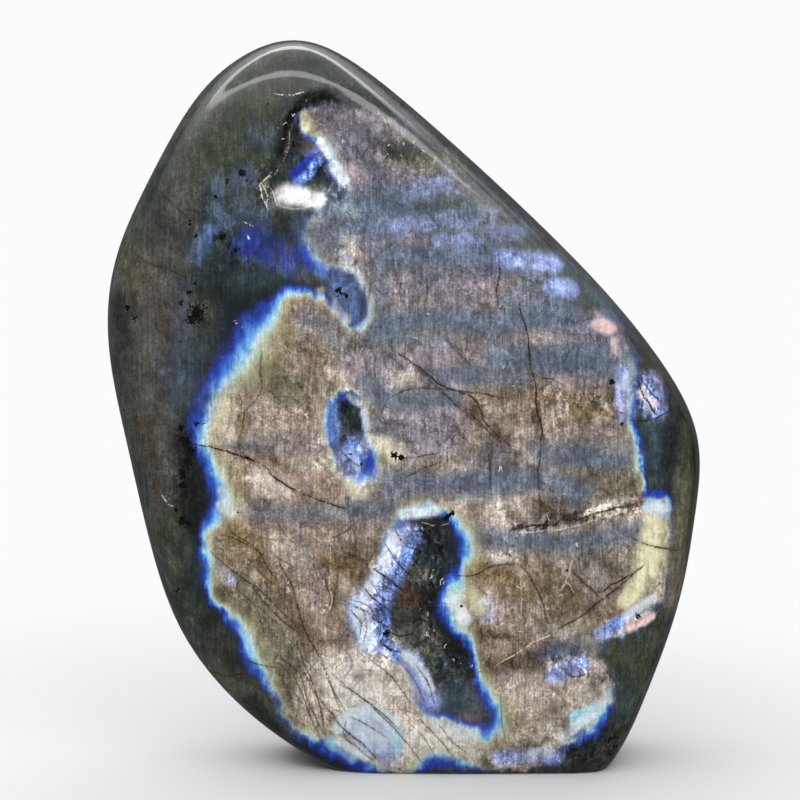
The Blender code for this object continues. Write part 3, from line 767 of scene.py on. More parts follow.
def nearest_line(lines):
    """For each point: signed and plain distance to the nearest line in half widths, and its strength."""
    signed = np.full(len(places), BLANK_DISTANCE)
    plain = np.full(len(places), BLANK_DISTANCE)
    strength = np.zeros(len(places))
    for half_width, line_strength, points in lines:
        line = rounded(points)
        gap, side, along = from_line(places, line)
        taper = 0.35 + 0.65 * np.sin(np.pi * np.clip(along / (len(line) - 1), 0.06, 0.94)) ** 0.5
        gap = gap / (half_width * taper)
        nearer = gap < plain
        plain[nearer] = gap[nearer]
        signed[nearer] = (gap * side)[nearer]
        strength[nearer] = line_strength
    return signed, plain, strength


def come_near(new, old):
    """Whether two lines come near each other somewhere."""
    return from_line(rounded(new[2]), rounded(old[2]))[0].min() <= APART_PX


def sets_of_lines(lines):
    """Deals the lines out to sets, so that no two of one set come near each other."""
    sets = []
    for new in lines:
        group = next((group for group in sets if not any(come_near(new, old) for old in group)), None)
        if group is None:
            sets.append([new])
        else:
            group.append(new)
    return sets


line_sets = {}
for name, lines in (("crack", CRACKS), ("vein_and_glint", VEINS_AND_GLINTS)):
    line_sets[name] = sets_of_lines(lines)
    for number, group in enumerate(line_sets[name]):
        signed, plain, strength = nearest_line(group)
        keep(f"{name}_{number}_side", signed)
        keep(f"{name}_{number}_gap", np.where(behind, BLANK_DISTANCE, plain))
        keep(f"{name}_{number}_strength", strength)
    print(name, "lines:", len(lines), "in", len(line_sets[name]), "sets")

# %% [markdown]
# ## Black grains
#
# Small grains of iron ore sit in the feldspar in loose strings and clots. Each is x, y and its radius in
# pixels.

# %% Places of the grains
GRAINS = [
    (196, 312, 8.0), (191, 320, 4.5), (204, 306, 4.0), (181, 302, 2.4), (189, 293, 2.2), (195, 284, 2.0),
    (190, 224, 3.4), (222, 237, 3.4), (229, 246, 2.6), (236, 250, 2.4), (227, 182, 3.0), (242, 173, 3.4),
    (216, 196, 2.6), (248, 180, 2.0), (339, 291, 4.2), (346, 295, 2.4), (196, 236, 2.2), (181, 428, 3.4),
    (186, 440, 5.4), (190, 450, 5.6), (187, 462, 4.6), (182, 474, 4.2), (183, 486, 3.6), (176, 510, 3.2),
    (182, 520, 4.2), (188, 524, 3.0), (394, 456, 3.6), (401, 457, 2.6), (612, 382, 3.2), (204, 424, 1.8),
    (196, 424, 2.0), (446, 518, 4.0), (452, 514, 2.6), (350, 455, 2.0), (362, 464, 1.8), (638, 616, 2.6),
    (566, 570, 1.8), (432, 474, 1.4), (436, 546, 2.2), (440, 548, 2.0), (386, 633, 3.4), (622, 424, 1.6),
    (134, 318, 3.4), (127, 308, 2.6), (238, 512, 1.4), (247, 458, 1.8), (178, 590, 2.2), (402, 105, 2.6),
    (268, 104, 1.8), (430, 584, 2.8), (462, 606, 1.6), (444, 640, 1.8), (466, 656, 2.2),
]
grain = np.full(len(places), BLANK_DISTANCE)
for x, y, radius in GRAINS:
    grain = np.minimum(grain, np.hypot(places[:, 0] - x, places[:, 1] - y) / radius)
keep("grain", np.where(behind, BLANK_DISTANCE, grain))
print("grains:", len(GRAINS))

# %% [markdown]
# ## Relief of the face
#
# The healed cracks were polished flush, so they are colour only. A few places stayed open: chips round the
# hollows near the top, a crumbled pocket at the right edge, and a rough crack above the gold patch. There
# the points of the net are pushed in along their normals by a few tenths of a millimetre. Each chip is half
# its width in pixels, its depth in millimetres, and the pixels that it runs through.

# %% Chips
CHIPS = [
    (4.0, 0.35, [(262, 186), (272, 170), (284, 150), (289, 128), (297, 110)]),
    (4.0, 0.25, [(643, 386), (647, 400), (652, 412)]), (2.5, 0.15, [(516, 530), (545, 527), (578, 521)]),
    (4.0, 0.2, [(626, 627), (646, 620)]), (3.5, 0.45, [(341, 256), (350, 268)]),
]
depth = np.zeros(len(places))
for half_width, chip_depth, points in CHIPS:
    gap = from_line(places, rounded(points))[0]
    depth = np.maximum(depth, chip_depth * (1 - smooth_step(0.2, 1.0, gap / half_width)))
depth = np.where(behind, 0.0, depth)
moved = face_points - normals * depth[:, None] * MM
moved[:, 2] = np.maximum(moved[:, 2], 0.0)
stone.data.vertices.foreach_set("co", moved.astype(np.float32).ravel())
stone.data.update()
print("deepest relief, mm:", round(float(depth.max()), 2))

# %% [markdown]
# ## Colours and a helper for nodes
#
# Colours are picked as sRGB hex values, as a paint program shows them, and turned to the linear values that
# the renderer works in. One function adds a node, sets it up and links it.

# %% Colour and node helpers
def linear(hex_colour):
    """The linear RGBA of an sRGB hex colour such as #5c6058."""
    channels = [int(hex_colour[i:i + 2], 16) / 255 for i in (1, 3, 5)]
    return [c / 12.92 if c <= 0.04045 else ((c + 0.055) / 1.055) ** 2.4 for c in channels] + [1.0]


def add(tree, kind, inputs=None, out=None, **settings):
    """Adds a node with its settings, sets or links its inputs, and returns its output socket."""
    node = tree.nodes.new(kind)
    for key, value in settings.items():
        setattr(node, key, value)
    for key, value in (inputs or {}).items():
        if isinstance(value, bpy.types.NodeSocket):
            tree.links.new(value, node.inputs[key])
        else:
            node.inputs[key].default_value = value
    return node.outputs[out] if out else next(socket for socket in node.outputs if socket.enabled)


def set_ramp(socket, stops):
    """Gives the Color Ramp that a socket belongs to its stops, each a place and an RGBA colour."""
    ramp = socket.node.color_ramp
    while len(ramp.elements) < len(stops):
        ramp.elements.new(0.5)
    for element, (place, colour) in zip(ramp.elements, stops):
        element.position = place
        element.color = colour


print("half grey in linear light:", round(linear("#808080")[0], 3))

# %% [markdown]
# ## Labradorite under a high polish
#
# The material is built up like the stone: plain feldspar, the inside of the flash, the veils, the rainbow
# edge, and at last the twin lines, cracks and grains. It starts by reading every number that the mesh
# carries. All places in the stone are in millimetres.

# %% A new material that reads the marks
labradorite = bpy.data.materials.new("labradorite, high polish")
labradorite.use_nodes = True
tree = labradorite.node_tree
surface = tree.nodes["Principled BSDF"]
read = {name: add(tree, "ShaderNodeAttribute", attribute_name=name, out="Fac") for name in kept_names}
place = add(tree, "ShaderNodeTexCoord", out="Object")
in_mm = add(tree, "ShaderNodeVectorMath", {0: place, "Scale": 1 / MM}, operation="SCALE")
print("numbers read at each point:", len(read))

# %% [markdown]
# A few fields of noise break everything up. Each is named for what it stands for, with its size across,
# through and up in mm. The twins are fine upright lines less than half a millimetre apart, so their noise is
# drawn out upwards. Noise keeps close to its middle value, so every field is stretched to run from 0 to 1.

# %% Fields of noise
NOISES = {
    "twins": {"size": (0.34, 3.0, 4.0), "detail": 2.0, "roughness": 0.5},
    "feathers": {"size": (1.7, 3.0, 4.5), "detail": 2.5, "roughness": 0.5},
    "bands": {"size": (17.0, 17.0, 3.4), "detail": 4.0, "roughness": 0.6},
    "clouds": {"size": (13.0, 13.0, 13.0), "detail": 4.0, "roughness": 0.55},
    "mottle": {"size": (2.4, 2.4, 2.4), "detail": 6.0, "roughness": 0.65},
    "dust": {"size": (0.36, 0.36, 0.36), "detail": 2.0, "roughness": 0.5},
}
NOISE_LOW = (0.34, 0.34, 0.34)
NOISE_HIGH = (0.66, 0.66, 0.66)
patterns = {}
for name, noise in NOISES.items():
    scaled = add(tree, "ShaderNodeVectorMath", {0: in_mm, 1: noise["size"]}, operation="DIVIDE")
    grain = {"Vector": scaled, "Scale": 1.0, "Detail": noise["detail"], "Roughness": noise["roughness"]}
    raw = add(tree, "ShaderNodeTexNoise", grain, out="Color")
    patterns[name] = add(
        tree, "ShaderNodeMapRange", {6: raw, 7: NOISE_LOW, 8: NOISE_HIGH}, data_type="FLOAT_VECTOR"
    )
print("noises:", ", ".join(NOISES))

# %% [markdown]
# Feldspar cleaves in flat plates, so the stone under the polish is also a patchwork of small sharp-edged
# pieces. Voronoi cells stand for them, with their places pushed about by the mottle so that no cell looks
# like a honeycomb. Each cell has one random value from 0 to 1. A pattern's colour gives three such values
# that don't follow one another, and they are split apart here for all patterns.

# %% Cleavage plates
CELLS = {
    "plates": {"size": (3.4, 3.4, 4.6), "push": 2.0},
    "crystals": {"size": (0.6, 0.6, 0.9), "push": 0.5},
}


def stretched(size, push, lean):
    """The place in units of a pattern's size, after the mottle has pushed it about and a lean turned it."""
    pushed = add(
        tree, "ShaderNodeVectorMath", {0: patterns["mottle"], 1: (push,) * 3, 2: in_mm},
        operation="MULTIPLY_ADD",
    )
    turned = add(tree, "ShaderNodeMapping", {0: pushed, "Rotation": (0, math.radians(lean), 0)})
    return add(tree, "ShaderNodeVectorMath", {0: turned, 1: size}, operation="DIVIDE")


for name, cell in CELLS.items():
    scaled = stretched(cell["size"], cell["push"], lean=0)
    patterns[name] = add(tree, "ShaderNodeTexVoronoi", {"Vector": scaled, "Scale": 1.0}, out="Color")
fields = {}
for name, pattern in patterns.items():
    split = add(tree, "ShaderNodeSeparateXYZ", {0: pattern}, out="X").node
    fields[name] = [split.outputs[axis] for axis in "XYZ"]
print("fields:", ", ".join(fields))

# %% [markdown]
# Two ramps give the plain feldspar and the stone inside the flash. The clouds set them mostly, with some
# mottling and plates.

# %% Plain feldspar and the inside of the flash
BODY_STOPS = [(0.12, "#1c2427"), (0.38, "#2e3736"), (0.60, "#3b403b"), (0.88, "#504d46")]
FLASH_STOPS = [(0.10, "#645a4c"), (0.34, "#928474"), (0.56, "#b6a699"), (0.86, "#eaded2")]


def blend(*parts):
    """A weighted sum of sockets, given as pairs of a socket and its share."""
    total = 0.0
    for socket, share in parts:
        total = add(tree, "ShaderNodeMath", {0: socket, 1: share, 2: total}, operation="MULTIPLY_ADD")
    return total


body_field = blend((fields["clouds"][0], 0.7), (fields["mottle"][0], 0.2), (fields["plates"][1], 0.1))
flash_field = blend((fields["clouds"][1], 0.4), (fields["plates"][1], 0.26), (fields["mottle"][0], 0.34))
body = add(tree, "ShaderNodeValToRGB", {"Fac": body_field}, out="Color")
flash_inside = add(tree, "ShaderNodeValToRGB", {"Fac": flash_field}, out="Color")
for socket, stops in ((body, BODY_STOPS), (flash_inside, FLASH_STOPS)):
    set_ramp(socket, [(stop, linear(hex_colour)) for stop, hex_colour in stops])
print("body and flash ramps:", len(BODY_STOPS), "and", len(FLASH_STOPS), "stops")

# %% [markdown]
# The distance to the flash's edge is shaken by the feathers, the mottle and the twins, so that the edge
# frays along them. Then it is divided by the width that the outline gives.

# %% Frayed edge of the flash
FRAYS = [("feathers", 0, 0.9), ("mottle", 1, 0.6), ("twins", 0, 0.25)]
EDGE_FROM = -0.6
EDGE_TO = 0.9
shake = blend(*((fields[name][channel], width) for name, channel, width in FRAYS), (read["flash"], 1.0))
half_shake = sum(width for _, _, width in FRAYS) / 2
into_flash = add(tree, "ShaderNodeMath", {0: shake, 1: half_shake}, operation="SUBTRACT")
into_flash = add(tree, "ShaderNodeMath", {0: into_flash, 1: read["rainbow_width"]}, operation="DIVIDE")
inside = add(
    tree, "ShaderNodeMapRange", {"Value": into_flash, "From Min": EDGE_FROM, "From Max": EDGE_TO},
    interpolation_type="SMOOTHSTEP",
)
colour = add(tree, "ShaderNodeMix", {0: inside, 6: body, 7: flash_inside}, data_type="RGBA")
print("the edge frays by", half_shake, "mm to either side")

# %% [markdown]
# Each veil is laid over the last one. A noise eats into it where its stroke is thin, so that no veil has the
# round outline of a brush. Wide bands are eaten by a noise that lies flat, and bright patches by one that
# stands upright like the twins. The brightest veils wait until the rainbow is on.

# %% Veils under the rainbow
VEIL_COLOURS = {
    "tan": ("#b09a86", "flat"), "mauve": ("#8e8794", "flat"), "dusk": ("#727d98", "flat"),
    "plum": ("#5c5a68", "flat"), "ochre": ("#8c7a50", "upright"), "umber": ("#64523f", "upright"),
    "olive": ("#77735e", "flat"), "slate": ("#627388", "flat"), "amber": ("#7e673e", "upright"),
    "taupe": ("#55544e", "flat"), "moss": ("#464f3c", "flat"), "rust": ("#4a3824", "upright"),
    # The near-black veil is also painted shade at the upper hollow, the foot and the right edge.
    "teal": ("#3c4c54", "upright"), "haze": ("#5a6a84", "upright"), "smoke": ("#161a16", "upright"),
    "cream": ("#fff6e8", "upright"), "lavender": ("#a6b6f2", "upright"), "azure": ("#6a90dc", "upright"),
    "deep_blue": ("#2238b0", "upright"), "cyan": ("#b4ecff", "upright"), "gold": ("#fffcd0", "upright"),
    "ice": ("#eefaff", "upright"), "rose": ("#fbd8d8", "upright"), "pearl": ("#d8e8ff", "upright"),
    # The pure white veil is also a painted highlight in the upper hollow.
    "gleam": ("#ffffff", "upright"),
}
OVER_THE_RAINBOW = ("deep_blue", "cyan", "gold", "ice", "rose", "pearl", "gleam")
EATEN_BY_NOISE = 1.5
WHOLE_FROM = 1.1
NOISE_SHIFT = -0.35
NOISE_SHIFT_OVER = -0.6
eaters = {
    "upright": blend((fields["feathers"][2], 0.7), (fields["plates"][2], 0.3)),
    "flat": blend((fields["bands"][0], 0.5), (fields["feathers"][1], 0.3), (fields["plates"][1], 0.2)),
}


def lay_over(under, name, shift):
    """Mixes one veil over the colour so far, broken up by its noise."""
    hex_colour, eater = VEIL_COLOURS[name]
    kept = blend((read[name], WHOLE_FROM), (eaters[eater], EATEN_BY_NOISE))
    kept = add(tree, "ShaderNodeMath", {0: kept, 1: shift}, operation="ADD", use_clamp=True)
    weight = add(tree, "ShaderNodeMath", {0: read[name], 1: kept}, operation="MULTIPLY", use_clamp=True)
    return add(tree, "ShaderNodeMix", {0: weight, 6: under, 7: linear(hex_colour)}, data_type="RGBA")


for name in VEIL_COLOURS:
    if name not in OVER_THE_RAINBOW:
        colour = lay_over(colour, name, NOISE_SHIFT)
print("veils under the rainbow:", len(VEIL_COLOURS) - len(OVER_THE_RAINBOW))

# %% [markdown]
# ## Fine structure
#
# The twin lines, the plates, the mottling and the dust lighten and darken the stone everywhere, a little
# less on the dark body and in the calm slate and cream bands. Where the stone is crumbled, its crystals show
# more.

# %% Shades of the fine structure
CONTRASTS = [
    ("twins", 1, 0.38), ("mottle", 1, 0.5), ("dust", 0, 0.38), ("feathers", 1, 0.12), ("plates", 0, 0.3),
    ("crystals", 0, 0.34),
]
CRUMBLE_CONTRASTS = [("crystals", 2, 1.3), ("mottle", 2, 1.1), ("dust", 1, 0.6)]
SHADE_LEVEL = 1.05
CRUMBLE_LEVEL = 1.15
SHADE_ON_BODY = 0.75
CALM = {"slate": 0.3, "cream": 0.45}


def shade_of(contrasts, level):
    """The product of a level and several fields, each of which swings about 1 by its contrast."""
    for name, channel, contrast in contrasts:
        factor = add(
            tree, "ShaderNodeMath", {0: fields[name][channel], 1: contrast, 2: 1 - contrast / 2},
            operation="MULTIPLY_ADD",
        )
        level = add(tree, "ShaderNodeMath", {0: level, 1: factor}, operation="MULTIPLY")
    return level


shade = shade_of(CONTRASTS, SHADE_LEVEL)
crumble_shade = shade_of(CRUMBLE_CONTRASTS, CRUMBLE_LEVEL)
shade_share = add(tree, "ShaderNodeMapRange", {"Value": inside, "To Min": SHADE_ON_BODY, "To Max": 1.0})
shade_share = blend(*((read[name], -calm) for name, calm in CALM.items()), (shade_share, 1.0))
print("fields in the shades:", len(CONTRASTS), "and", len(CRUMBLE_CONTRASTS))

# %% [markdown]
# Thin lines run all through the stone. Hairlines are healed cracks thinner than a hair: where a noise passes
# through its middle value, it draws a thin wandering line, and noises that are drawn out and leant to either
# side give families of them. Between them lies a net of fine cracks, which runs along the borders of Voronoi
# cells. All are drawn a little wider than they are, because they would be too fine to show.

# %% Hairlines and the net of fine cracks
HAIRLINES = [
    {"lean": 34, "size": (2.4, 6.0, 11.0), "darkness": 0.55},
    {"lean": -22, "size": (3.0, 6.0, 12.0), "darkness": 0.5},
    {"lean": 78, "size": (4.0, 9.0, 16.0), "darkness": 0.4},
]
HAIRLINE_WIDTH = 0.018
HAIRLINE_APART_MM = 50
NETS = [
    {"lean": 40, "size": (3.0, 5.0, 8.0), "push": 1.6, "width": 0.06, "darkness": 0.8},
    {"lean": -10, "size": (7.0, 7.0, 5.0), "push": 2.0, "width": 0.035, "darkness": 0.6},
]
LINES_ON_BODY = 0.35
LINES_CALM_IN_SLATE = 0.5
LINE_TONE = "#86705a"


def off_middle(vector, detail):
    """How far a noise is from its middle value: 0 along thin wandering lines."""
    wave = add(tree, "ShaderNodeTexNoise", {"Vector": vector, "Scale": 1.0, "Detail": detail}, out="Fac")
    off = add(tree, "ShaderNodeMath", {0: wave, 1: 0.5}, operation="SUBTRACT")
    return add(tree, "ShaderNodeMath", {0: off}, operation="ABSOLUTE")


families = []
for number, hair in enumerate(HAIRLINES):
    lean = (0, math.radians(hair["lean"]), 0)
    apart = (HAIRLINE_APART_MM * number, 0, 0)
    turned = add(tree, "ShaderNodeMapping", {0: in_mm, "Location": apart, "Rotation": lean})
    scaled = add(tree, "ShaderNodeVectorMath", {0: turned, 1: hair["size"]}, operation="DIVIDE")
    gap = off_middle(scaled, detail=3.0)
    families.append((gap, HAIRLINE_WIDTH, hair["darkness"], fields["clouds"][number], 0.25, 0.65))
for number, net in enumerate(NETS):
    scaled = stretched(net["size"], net["push"], net["lean"])
    gap = add(tree, "ShaderNodeTexVoronoi", {"Vector": scaled, "Scale": 1.0}, feature="DISTANCE_TO_EDGE")
    families.append((gap, net["width"], net["darkness"], fields["feathers"][number], 0.3, 0.75))
thin_lines = 0.0
for gap, width, darkness, shown_by, shown_from, shown_to in families:
    line = add(
        tree, "ShaderNodeMapRange", {"Value": gap, "From Min": width, "From Max": 0.0, "To Max": darkness},
        interpolation_type="SMOOTHSTEP",
    )
    shown = add(
        tree, "ShaderNodeMapRange", {"Value": shown_by, "From Min": shown_from, "From Max": shown_to},
        interpolation_type="SMOOTHSTEP",
    )
    line = add(tree, "ShaderNodeMath", {0: line, 1: shown}, operation="MULTIPLY")
    thin_lines = add(tree, "ShaderNodeMath", {0: thin_lines, 1: line}, operation="MAXIMUM")
line_share = add(tree, "ShaderNodeMapRange", {"Value": inside, "To Min": LINES_ON_BODY, "To Max": 1.0})
line_share = blend((read["slate"], -LINES_CALM_IN_SLATE), (line_share, 1.0))
thin_lines = add(
    tree, "ShaderNodeMath", {0: thin_lines, 1: line_share}, operation="MULTIPLY", use_clamp=True
)
print("families of thin lines:", len(families))

# %% [markdown]
# The shades and the thin lines only darken or lighten what is there, so they multiply the colour so far,
# each to its own share.

# %% Multiply the colour
def multiplied(under, tones):
    """The colour so far, multiplied by each tone to that tone's share."""
    for share, tone in tones:
        under = add(
            tree, "ShaderNodeMix", {0: share, 6: under, 7: tone}, data_type="RGBA", blend_type="MULTIPLY"
        )
    return under


tones = [(shade_share, shade), (thin_lines, linear(LINE_TONE)), (read["crumbled"], crumble_shade)]
colour = multiplied(colour, tones)
print("nodes so far:", len(tree.nodes))

# %% [markdown]
# ## The rainbow and the bright patches
#
# The distance into the flash drives a ramp: a dark seam outside, deep blue, ice and pale gold, and nothing
# further in. Noise breaks it up where the outline makes it weak. The bright veils go over it, and the fine
# structure shades them by half, because they shine over most of it.

# %% Rainbow edge and bright veils
RAINBOW_FROM = -6.0
RAINBOW_TO = 5.0
RAINBOW_STOPS = [
    (0.00, "#1c2422", 0.0), (0.25, "#1a2324", 0.35), (0.37, "#1a2338", 0.7), (0.43, "#22358a", 0.9),
    (0.485, "#2f52c0", 1.0), (0.53, "#5088e0", 1.0), (0.575, "#86c4f2", 1.0), (0.62, "#c6ecf4", 0.95),
    (0.67, "#dcead0", 0.8), (0.74, "#cac69e", 0.5), (0.86, "#a89c74", 0.22), (1.00, "#96825e", 0.0),
]
SHADE_ON_BRIGHT = 0.45
ramp_place = add(
    tree, "ShaderNodeMapRange", {"Value": into_flash, "From Min": RAINBOW_FROM, "From Max": RAINBOW_TO}
)
rainbow_colour = add(tree, "ShaderNodeValToRGB", {"Fac": ramp_place}, out="Color")
rainbow = [(stop, linear(hex_colour)[:3] + [alpha]) for stop, hex_colour, alpha in RAINBOW_STOPS]
set_ramp(rainbow_colour, rainbow)
broken = blend((fields["feathers"][2], 0.6), (fields["mottle"][1], 0.5), (read["rainbow"], 0.55))
cover = add(tree, "ShaderNodeMath", {0: broken, 1: read["rainbow"]}, operation="MULTIPLY", use_clamp=True)
rainbow_alpha = rainbow_colour.node.outputs["Alpha"]
cover = add(tree, "ShaderNodeMath", {0: rainbow_alpha, 1: cover}, operation="MULTIPLY")
colour = add(tree, "ShaderNodeMix", {0: cover, 6: colour, 7: rainbow_colour}, data_type="RGBA")
for name in OVER_THE_RAINBOW:
    colour = lay_over(colour, name, NOISE_SHIFT_OVER)
crumbled_share = add(tree, "ShaderNodeMath", {0: read["crumbled"], 1: SHADE_ON_BRIGHT}, operation="MULTIPLY")
colour = multiplied(colour, [(SHADE_ON_BRIGHT, shade), (crumbled_share, crumble_shade)])
print("rainbow stops:", len(RAINBOW_STOPS), "and bright veils:", len(OVER_THE_RAINBOW))

# %% [markdown]
# ## Glints
#
# Glints are the edges of small crystals that catch the light. A few cells of the crystal pattern are picked,
# more of them where a stroke says so, and only a thin arc of each is lit.

# %% Thin bright arcs
GLINT_COLOUR = "#fff6e6"
GLINT_STRENGTH = 0.85
GLINT_FROM = 1.12
GLINT_TO = 1.17
ARC_SIZE_MM = (1.3, 1.3, 1.9)
ARC_WIDTH = 0.04
picked = blend(
    (fields["crystals"][1], 1.0), (fields["feathers"][2], 0.12), (read["sparkle"], 0.2),
    (read["crumbled"], 0.08), (inside, 0.06),
)
glint = add(
    tree, "ShaderNodeMapRange",
    {"Value": picked, "From Min": GLINT_FROM, "From Max": GLINT_TO, "To Max": GLINT_STRENGTH},
)
scaled = add(tree, "ShaderNodeVectorMath", {0: in_mm, 1: ARC_SIZE_MM}, operation="DIVIDE")
arc = add(
    tree, "ShaderNodeMapRange",
    {"Value": off_middle(scaled, detail=1.0), "From Min": ARC_WIDTH, "From Max": 0.0},
    interpolation_type="SMOOTHSTEP",
)
glint = add(tree, "ShaderNodeMath", {0: glint, 1: arc}, operation="MULTIPLY")
colour = add(tree, "ShaderNodeMix", {0: glint, 6: colour, 7: linear(GLINT_COLOUR)}, data_type="RGBA")
print("glints lie on arcs", ARC_SIZE_MM[0], "mm across")

# %% [markdown]
# ## Cracks, veins, painted glints and grains
#
# Rust crept in along the cracks and stained the stone beside them, so each crack is a thin broken dark line
# on a soft brown stain. White veins and painted glints are broken into bits. The grains come last, because
# nothing shines over them.

# %% Covers of the drawn lines
LINE_FRAY = 1.0
NEAR = 5.0
STAIN_REACH = 5.0
STAIN_STRENGTH = 0.3


def line_reads(name):
    """The signed distance, plain distance and strength of each set of a name's lines."""
    numbers = range(len(line_sets[name]))
    return [[read[f"{name}_{number}_{kind}"] for kind in ("side", "gap", "strength")] for number in numbers]


def drawn_lines(name):
    """How strongly a name's lines cover the surface here."""
    cover = 0.0
    for side, gap, strength in line_reads(name):
        across = blend((fields["mottle"][0], 2 * LINE_FRAY), (side, 1.0))
        across = add(tree, "ShaderNodeMath", {0: across, 1: LINE_FRAY}, operation="SUBTRACT")
        across = add(tree, "ShaderNodeMath", {0: across}, operation="ABSOLUTE")
        line = add(
            tree, "ShaderNodeMapRange", {"Value": across, "From Min": 1.5, "From Max": 0.3},
            interpolation_type="SMOOTHSTEP",
        )
        near = add(tree, "ShaderNodeMath", {0: gap, 1: NEAR}, operation="LESS_THAN")
        for limit in (near, strength):
            line = add(tree, "ShaderNodeMath", {0: line, 1: limit}, operation="MULTIPLY")
        cover = add(tree, "ShaderNodeMath", {0: cover, 1: line}, operation="MAXIMUM")
    return cover


def stains(name):
    """How strongly the stain beside a name's lines covers the surface here."""
    cover = 0.0
    for _, gap, strength in line_reads(name):
        stain = add(
            tree, "ShaderNodeMapRange", {"Value": gap, "From Min": STAIN_REACH, "From Max": 0.5},
            interpolation_type="SMOOTHSTEP",
        )
        stain = add(tree, "ShaderNodeMath", {0: stain, 1: strength}, operation="MULTIPLY")
        cover = add(tree, "ShaderNodeMath", {0: cover, 1: stain}, operation="MAXIMUM")
    return cover


stain_bits = blend((fields["feathers"][2], 0.9), (fields["crystals"][2], 0.5))
stain = add(
    tree, "ShaderNodeMath", {0: stains("crack"), 1: stain_bits}, operation="MULTIPLY", use_clamp=True
)
stain = add(tree, "ShaderNodeMath", {0: stain, 1: STAIN_STRENGTH}, operation="MULTIPLY")
print("sets of lines:", {name: len(sets) for name, sets in line_sets.items()})

# %% Lay the stains, lines and grains
STAIN_COLOUR = "#54432c"
GRAIN_COLOUR = "#08090a"
# The light lines are white veins and painted glints.
BROKEN_LINES = {"crack": ("#2a2016", 0.12, 0.55), "vein_and_glint": ("#efe8da", 0.38, 0.58)}
layers = [(stain, STAIN_COLOUR)]
bits = blend((fields["mottle"][2], 0.5), (fields["dust"][2], 0.5))
for name, (hex_colour, gone_under, whole_over) in BROKEN_LINES.items():
    left = add(
        tree, "ShaderNodeMapRange", {"Value": bits, "From Min": gone_under, "From Max": whole_over},
        interpolation_type="SMOOTHSTEP",
    )
    cover = add(tree, "ShaderNodeMath", {0: drawn_lines(name), 1: left}, operation="MULTIPLY")
    layers.append((cover, hex_colour))
grain_edge = blend((fields["dust"][0], 1.0), (fields["mottle"][1], 0.8), (read["grain"], 1.0))
grain_cover = add(tree, "ShaderNodeMapRange", {"Value": grain_edge, "From Min": 2.0, "From Max": 1.7})
layers.append((grain_cover, GRAIN_COLOUR))
for cover, hex_colour in layers:
    colour = add(tree, "ShaderNodeMix", {0: cover, 6: colour, 7: linear(hex_colour)}, data_type="RGBA")
print("layers on top:", len(layers))

# %% [markdown]
# ## Polish
#
# Feldspar has an index of refraction near 1.56, and a good polish on it is nearly a mirror. The clear coat
# carries that mirror. The base below it is dull, with a slight grain of its own along the twins, and shines
# a little where the flash is, as the metallic value of the inner sheets.

# %% Shader settings
FELDSPAR_IOR = 1.56
FLASH_METALLIC = 0.12
TWIN_RELIEF_MM = 0.03
POLISH = {
    "Roughness": 0.5, "IOR": FELDSPAR_IOR, "Specular IOR Level": 0.05, "Coat Weight": 1.0,
    "Coat Roughness": 0.03, "Coat IOR": FELDSPAR_IOR,
}
for name, value in POLISH.items():
    surface.inputs[name].default_value = value
metallic = add(tree, "ShaderNodeMath", {0: inside, 1: FLASH_METALLIC}, operation="MULTIPLY")
twin_relief = {"Height": fields["twins"][0], "Strength": 0.5, "Distance": TWIN_RELIEF_MM * MM}
bump = add(tree, "ShaderNodeBump", twin_relief, out="Normal")
for name, socket in {"Base Color": colour, "Metallic": metallic, "Normal": bump}.items():
    tree.links.new(socket, surface.inputs[name])
stone.data.materials.append(labradorite)
stone.select_set(True)
bpy.ops.object.shade_smooth()
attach(stone, "root")
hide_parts(STONE_NODE)
stone.data.calc_loop_triangles()
print("stone:", len(stone.data.loop_triangles), "triangles,", len(tree.nodes), "nodes in its material")

# %% [markdown]
# ## The studio
#
# A wide pale floor fills the view. All light comes from a soft dome. It is dim near the horizon, because the
# polished face mirrors what is straight in front of it, and a bright room there would wash the flash out. A
# ring of lamps runs round it half way up. The rounded rim mirrors that ring as the two pale lines along the
# stone's top. A dark flag takes the light off the right side, so that the long slanting edge stays dark, as
# in the photo.

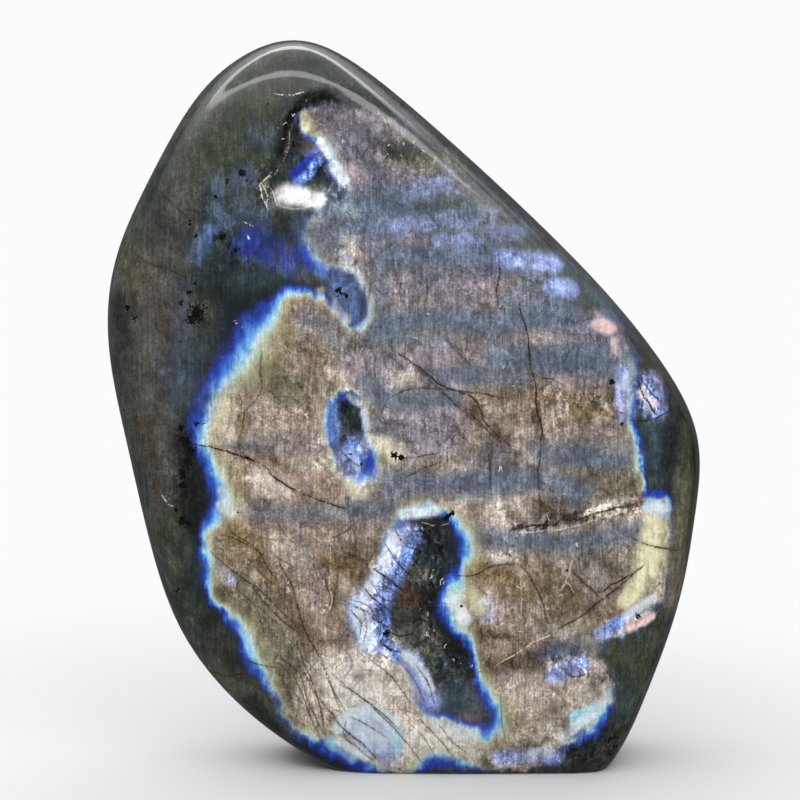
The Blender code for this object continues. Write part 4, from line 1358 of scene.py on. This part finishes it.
# %% Floor
FLOOR_RADIUS = 8.0
FLOOR_COLOUR = "#dcdcdc"
bpy.ops.object.select_all(action="DESELECT")
bpy.ops.mesh.primitive_circle_add(vertices=96, radius=FLOOR_RADIUS, fill_type="NGON")
floor = bpy.context.object
floor.name = "pale_floor"
paint = bpy.data.materials.new("matt pale paint")
paint.use_nodes = True
paint_surface = paint.node_tree.nodes["Principled BSDF"]
paint_surface.inputs["Base Color"].default_value = linear(FLOOR_COLOUR)
paint_surface.inputs["Roughness"].default_value = 0.9
floor.data.materials.append(paint)
floor.visible_glossy = False
print("floor, m across:", 2 * FLOOR_RADIUS)

# %% Dome
DOME_STOPS = [(0, 0.08), (20, 0.10), (32, 0.9), (42, 1.6), (45, 5.3), (51.5, 5.3), (54, 1.0), (90, 0.8)]
FLAG_FROM = 0.52
FLAG_TO = 0.62
FLAG_SHARE = 0.3
DOME_PEAK = max(brightness for _, brightness in DOME_STOPS)
world = bpy.data.worlds.new("soft dome with a ring of lamps")
bpy.context.scene.world = world
world.use_nodes = True
sky = world.node_tree
background = sky.nodes["Background"]
direction = add(sky, "ShaderNodeTexCoord", out="Generated")
split = add(sky, "ShaderNodeSeparateXYZ", {0: direction}, out="X").node
dome = add(sky, "ShaderNodeValToRGB", {"Fac": split.outputs["Z"]}, out="Color")
greys = [(math.sin(math.radians(elevation)), brightness / DOME_PEAK) for elevation, brightness in DOME_STOPS]
set_ramp(dome, [(height, (grey, grey, grey, 1.0)) for height, grey in greys])
flag = {
    "Value": split.outputs["X"], "From Min": FLAG_FROM, "From Max": FLAG_TO, "To Min": DOME_PEAK,
    "To Max": DOME_PEAK * FLAG_SHARE,
}
strength = add(sky, "ShaderNodeMapRange", flag, interpolation_type="SMOOTHSTEP")
sky.links.new(dome, background.inputs["Color"])
sky.links.new(strength, background.inputs["Strength"])
bpy.context.scene.view_settings.view_transform = "Standard"
print("dome: peak", DOME_PEAK, "at", [e for e, b in DOME_STOPS if b == DOME_PEAK], "degrees up")
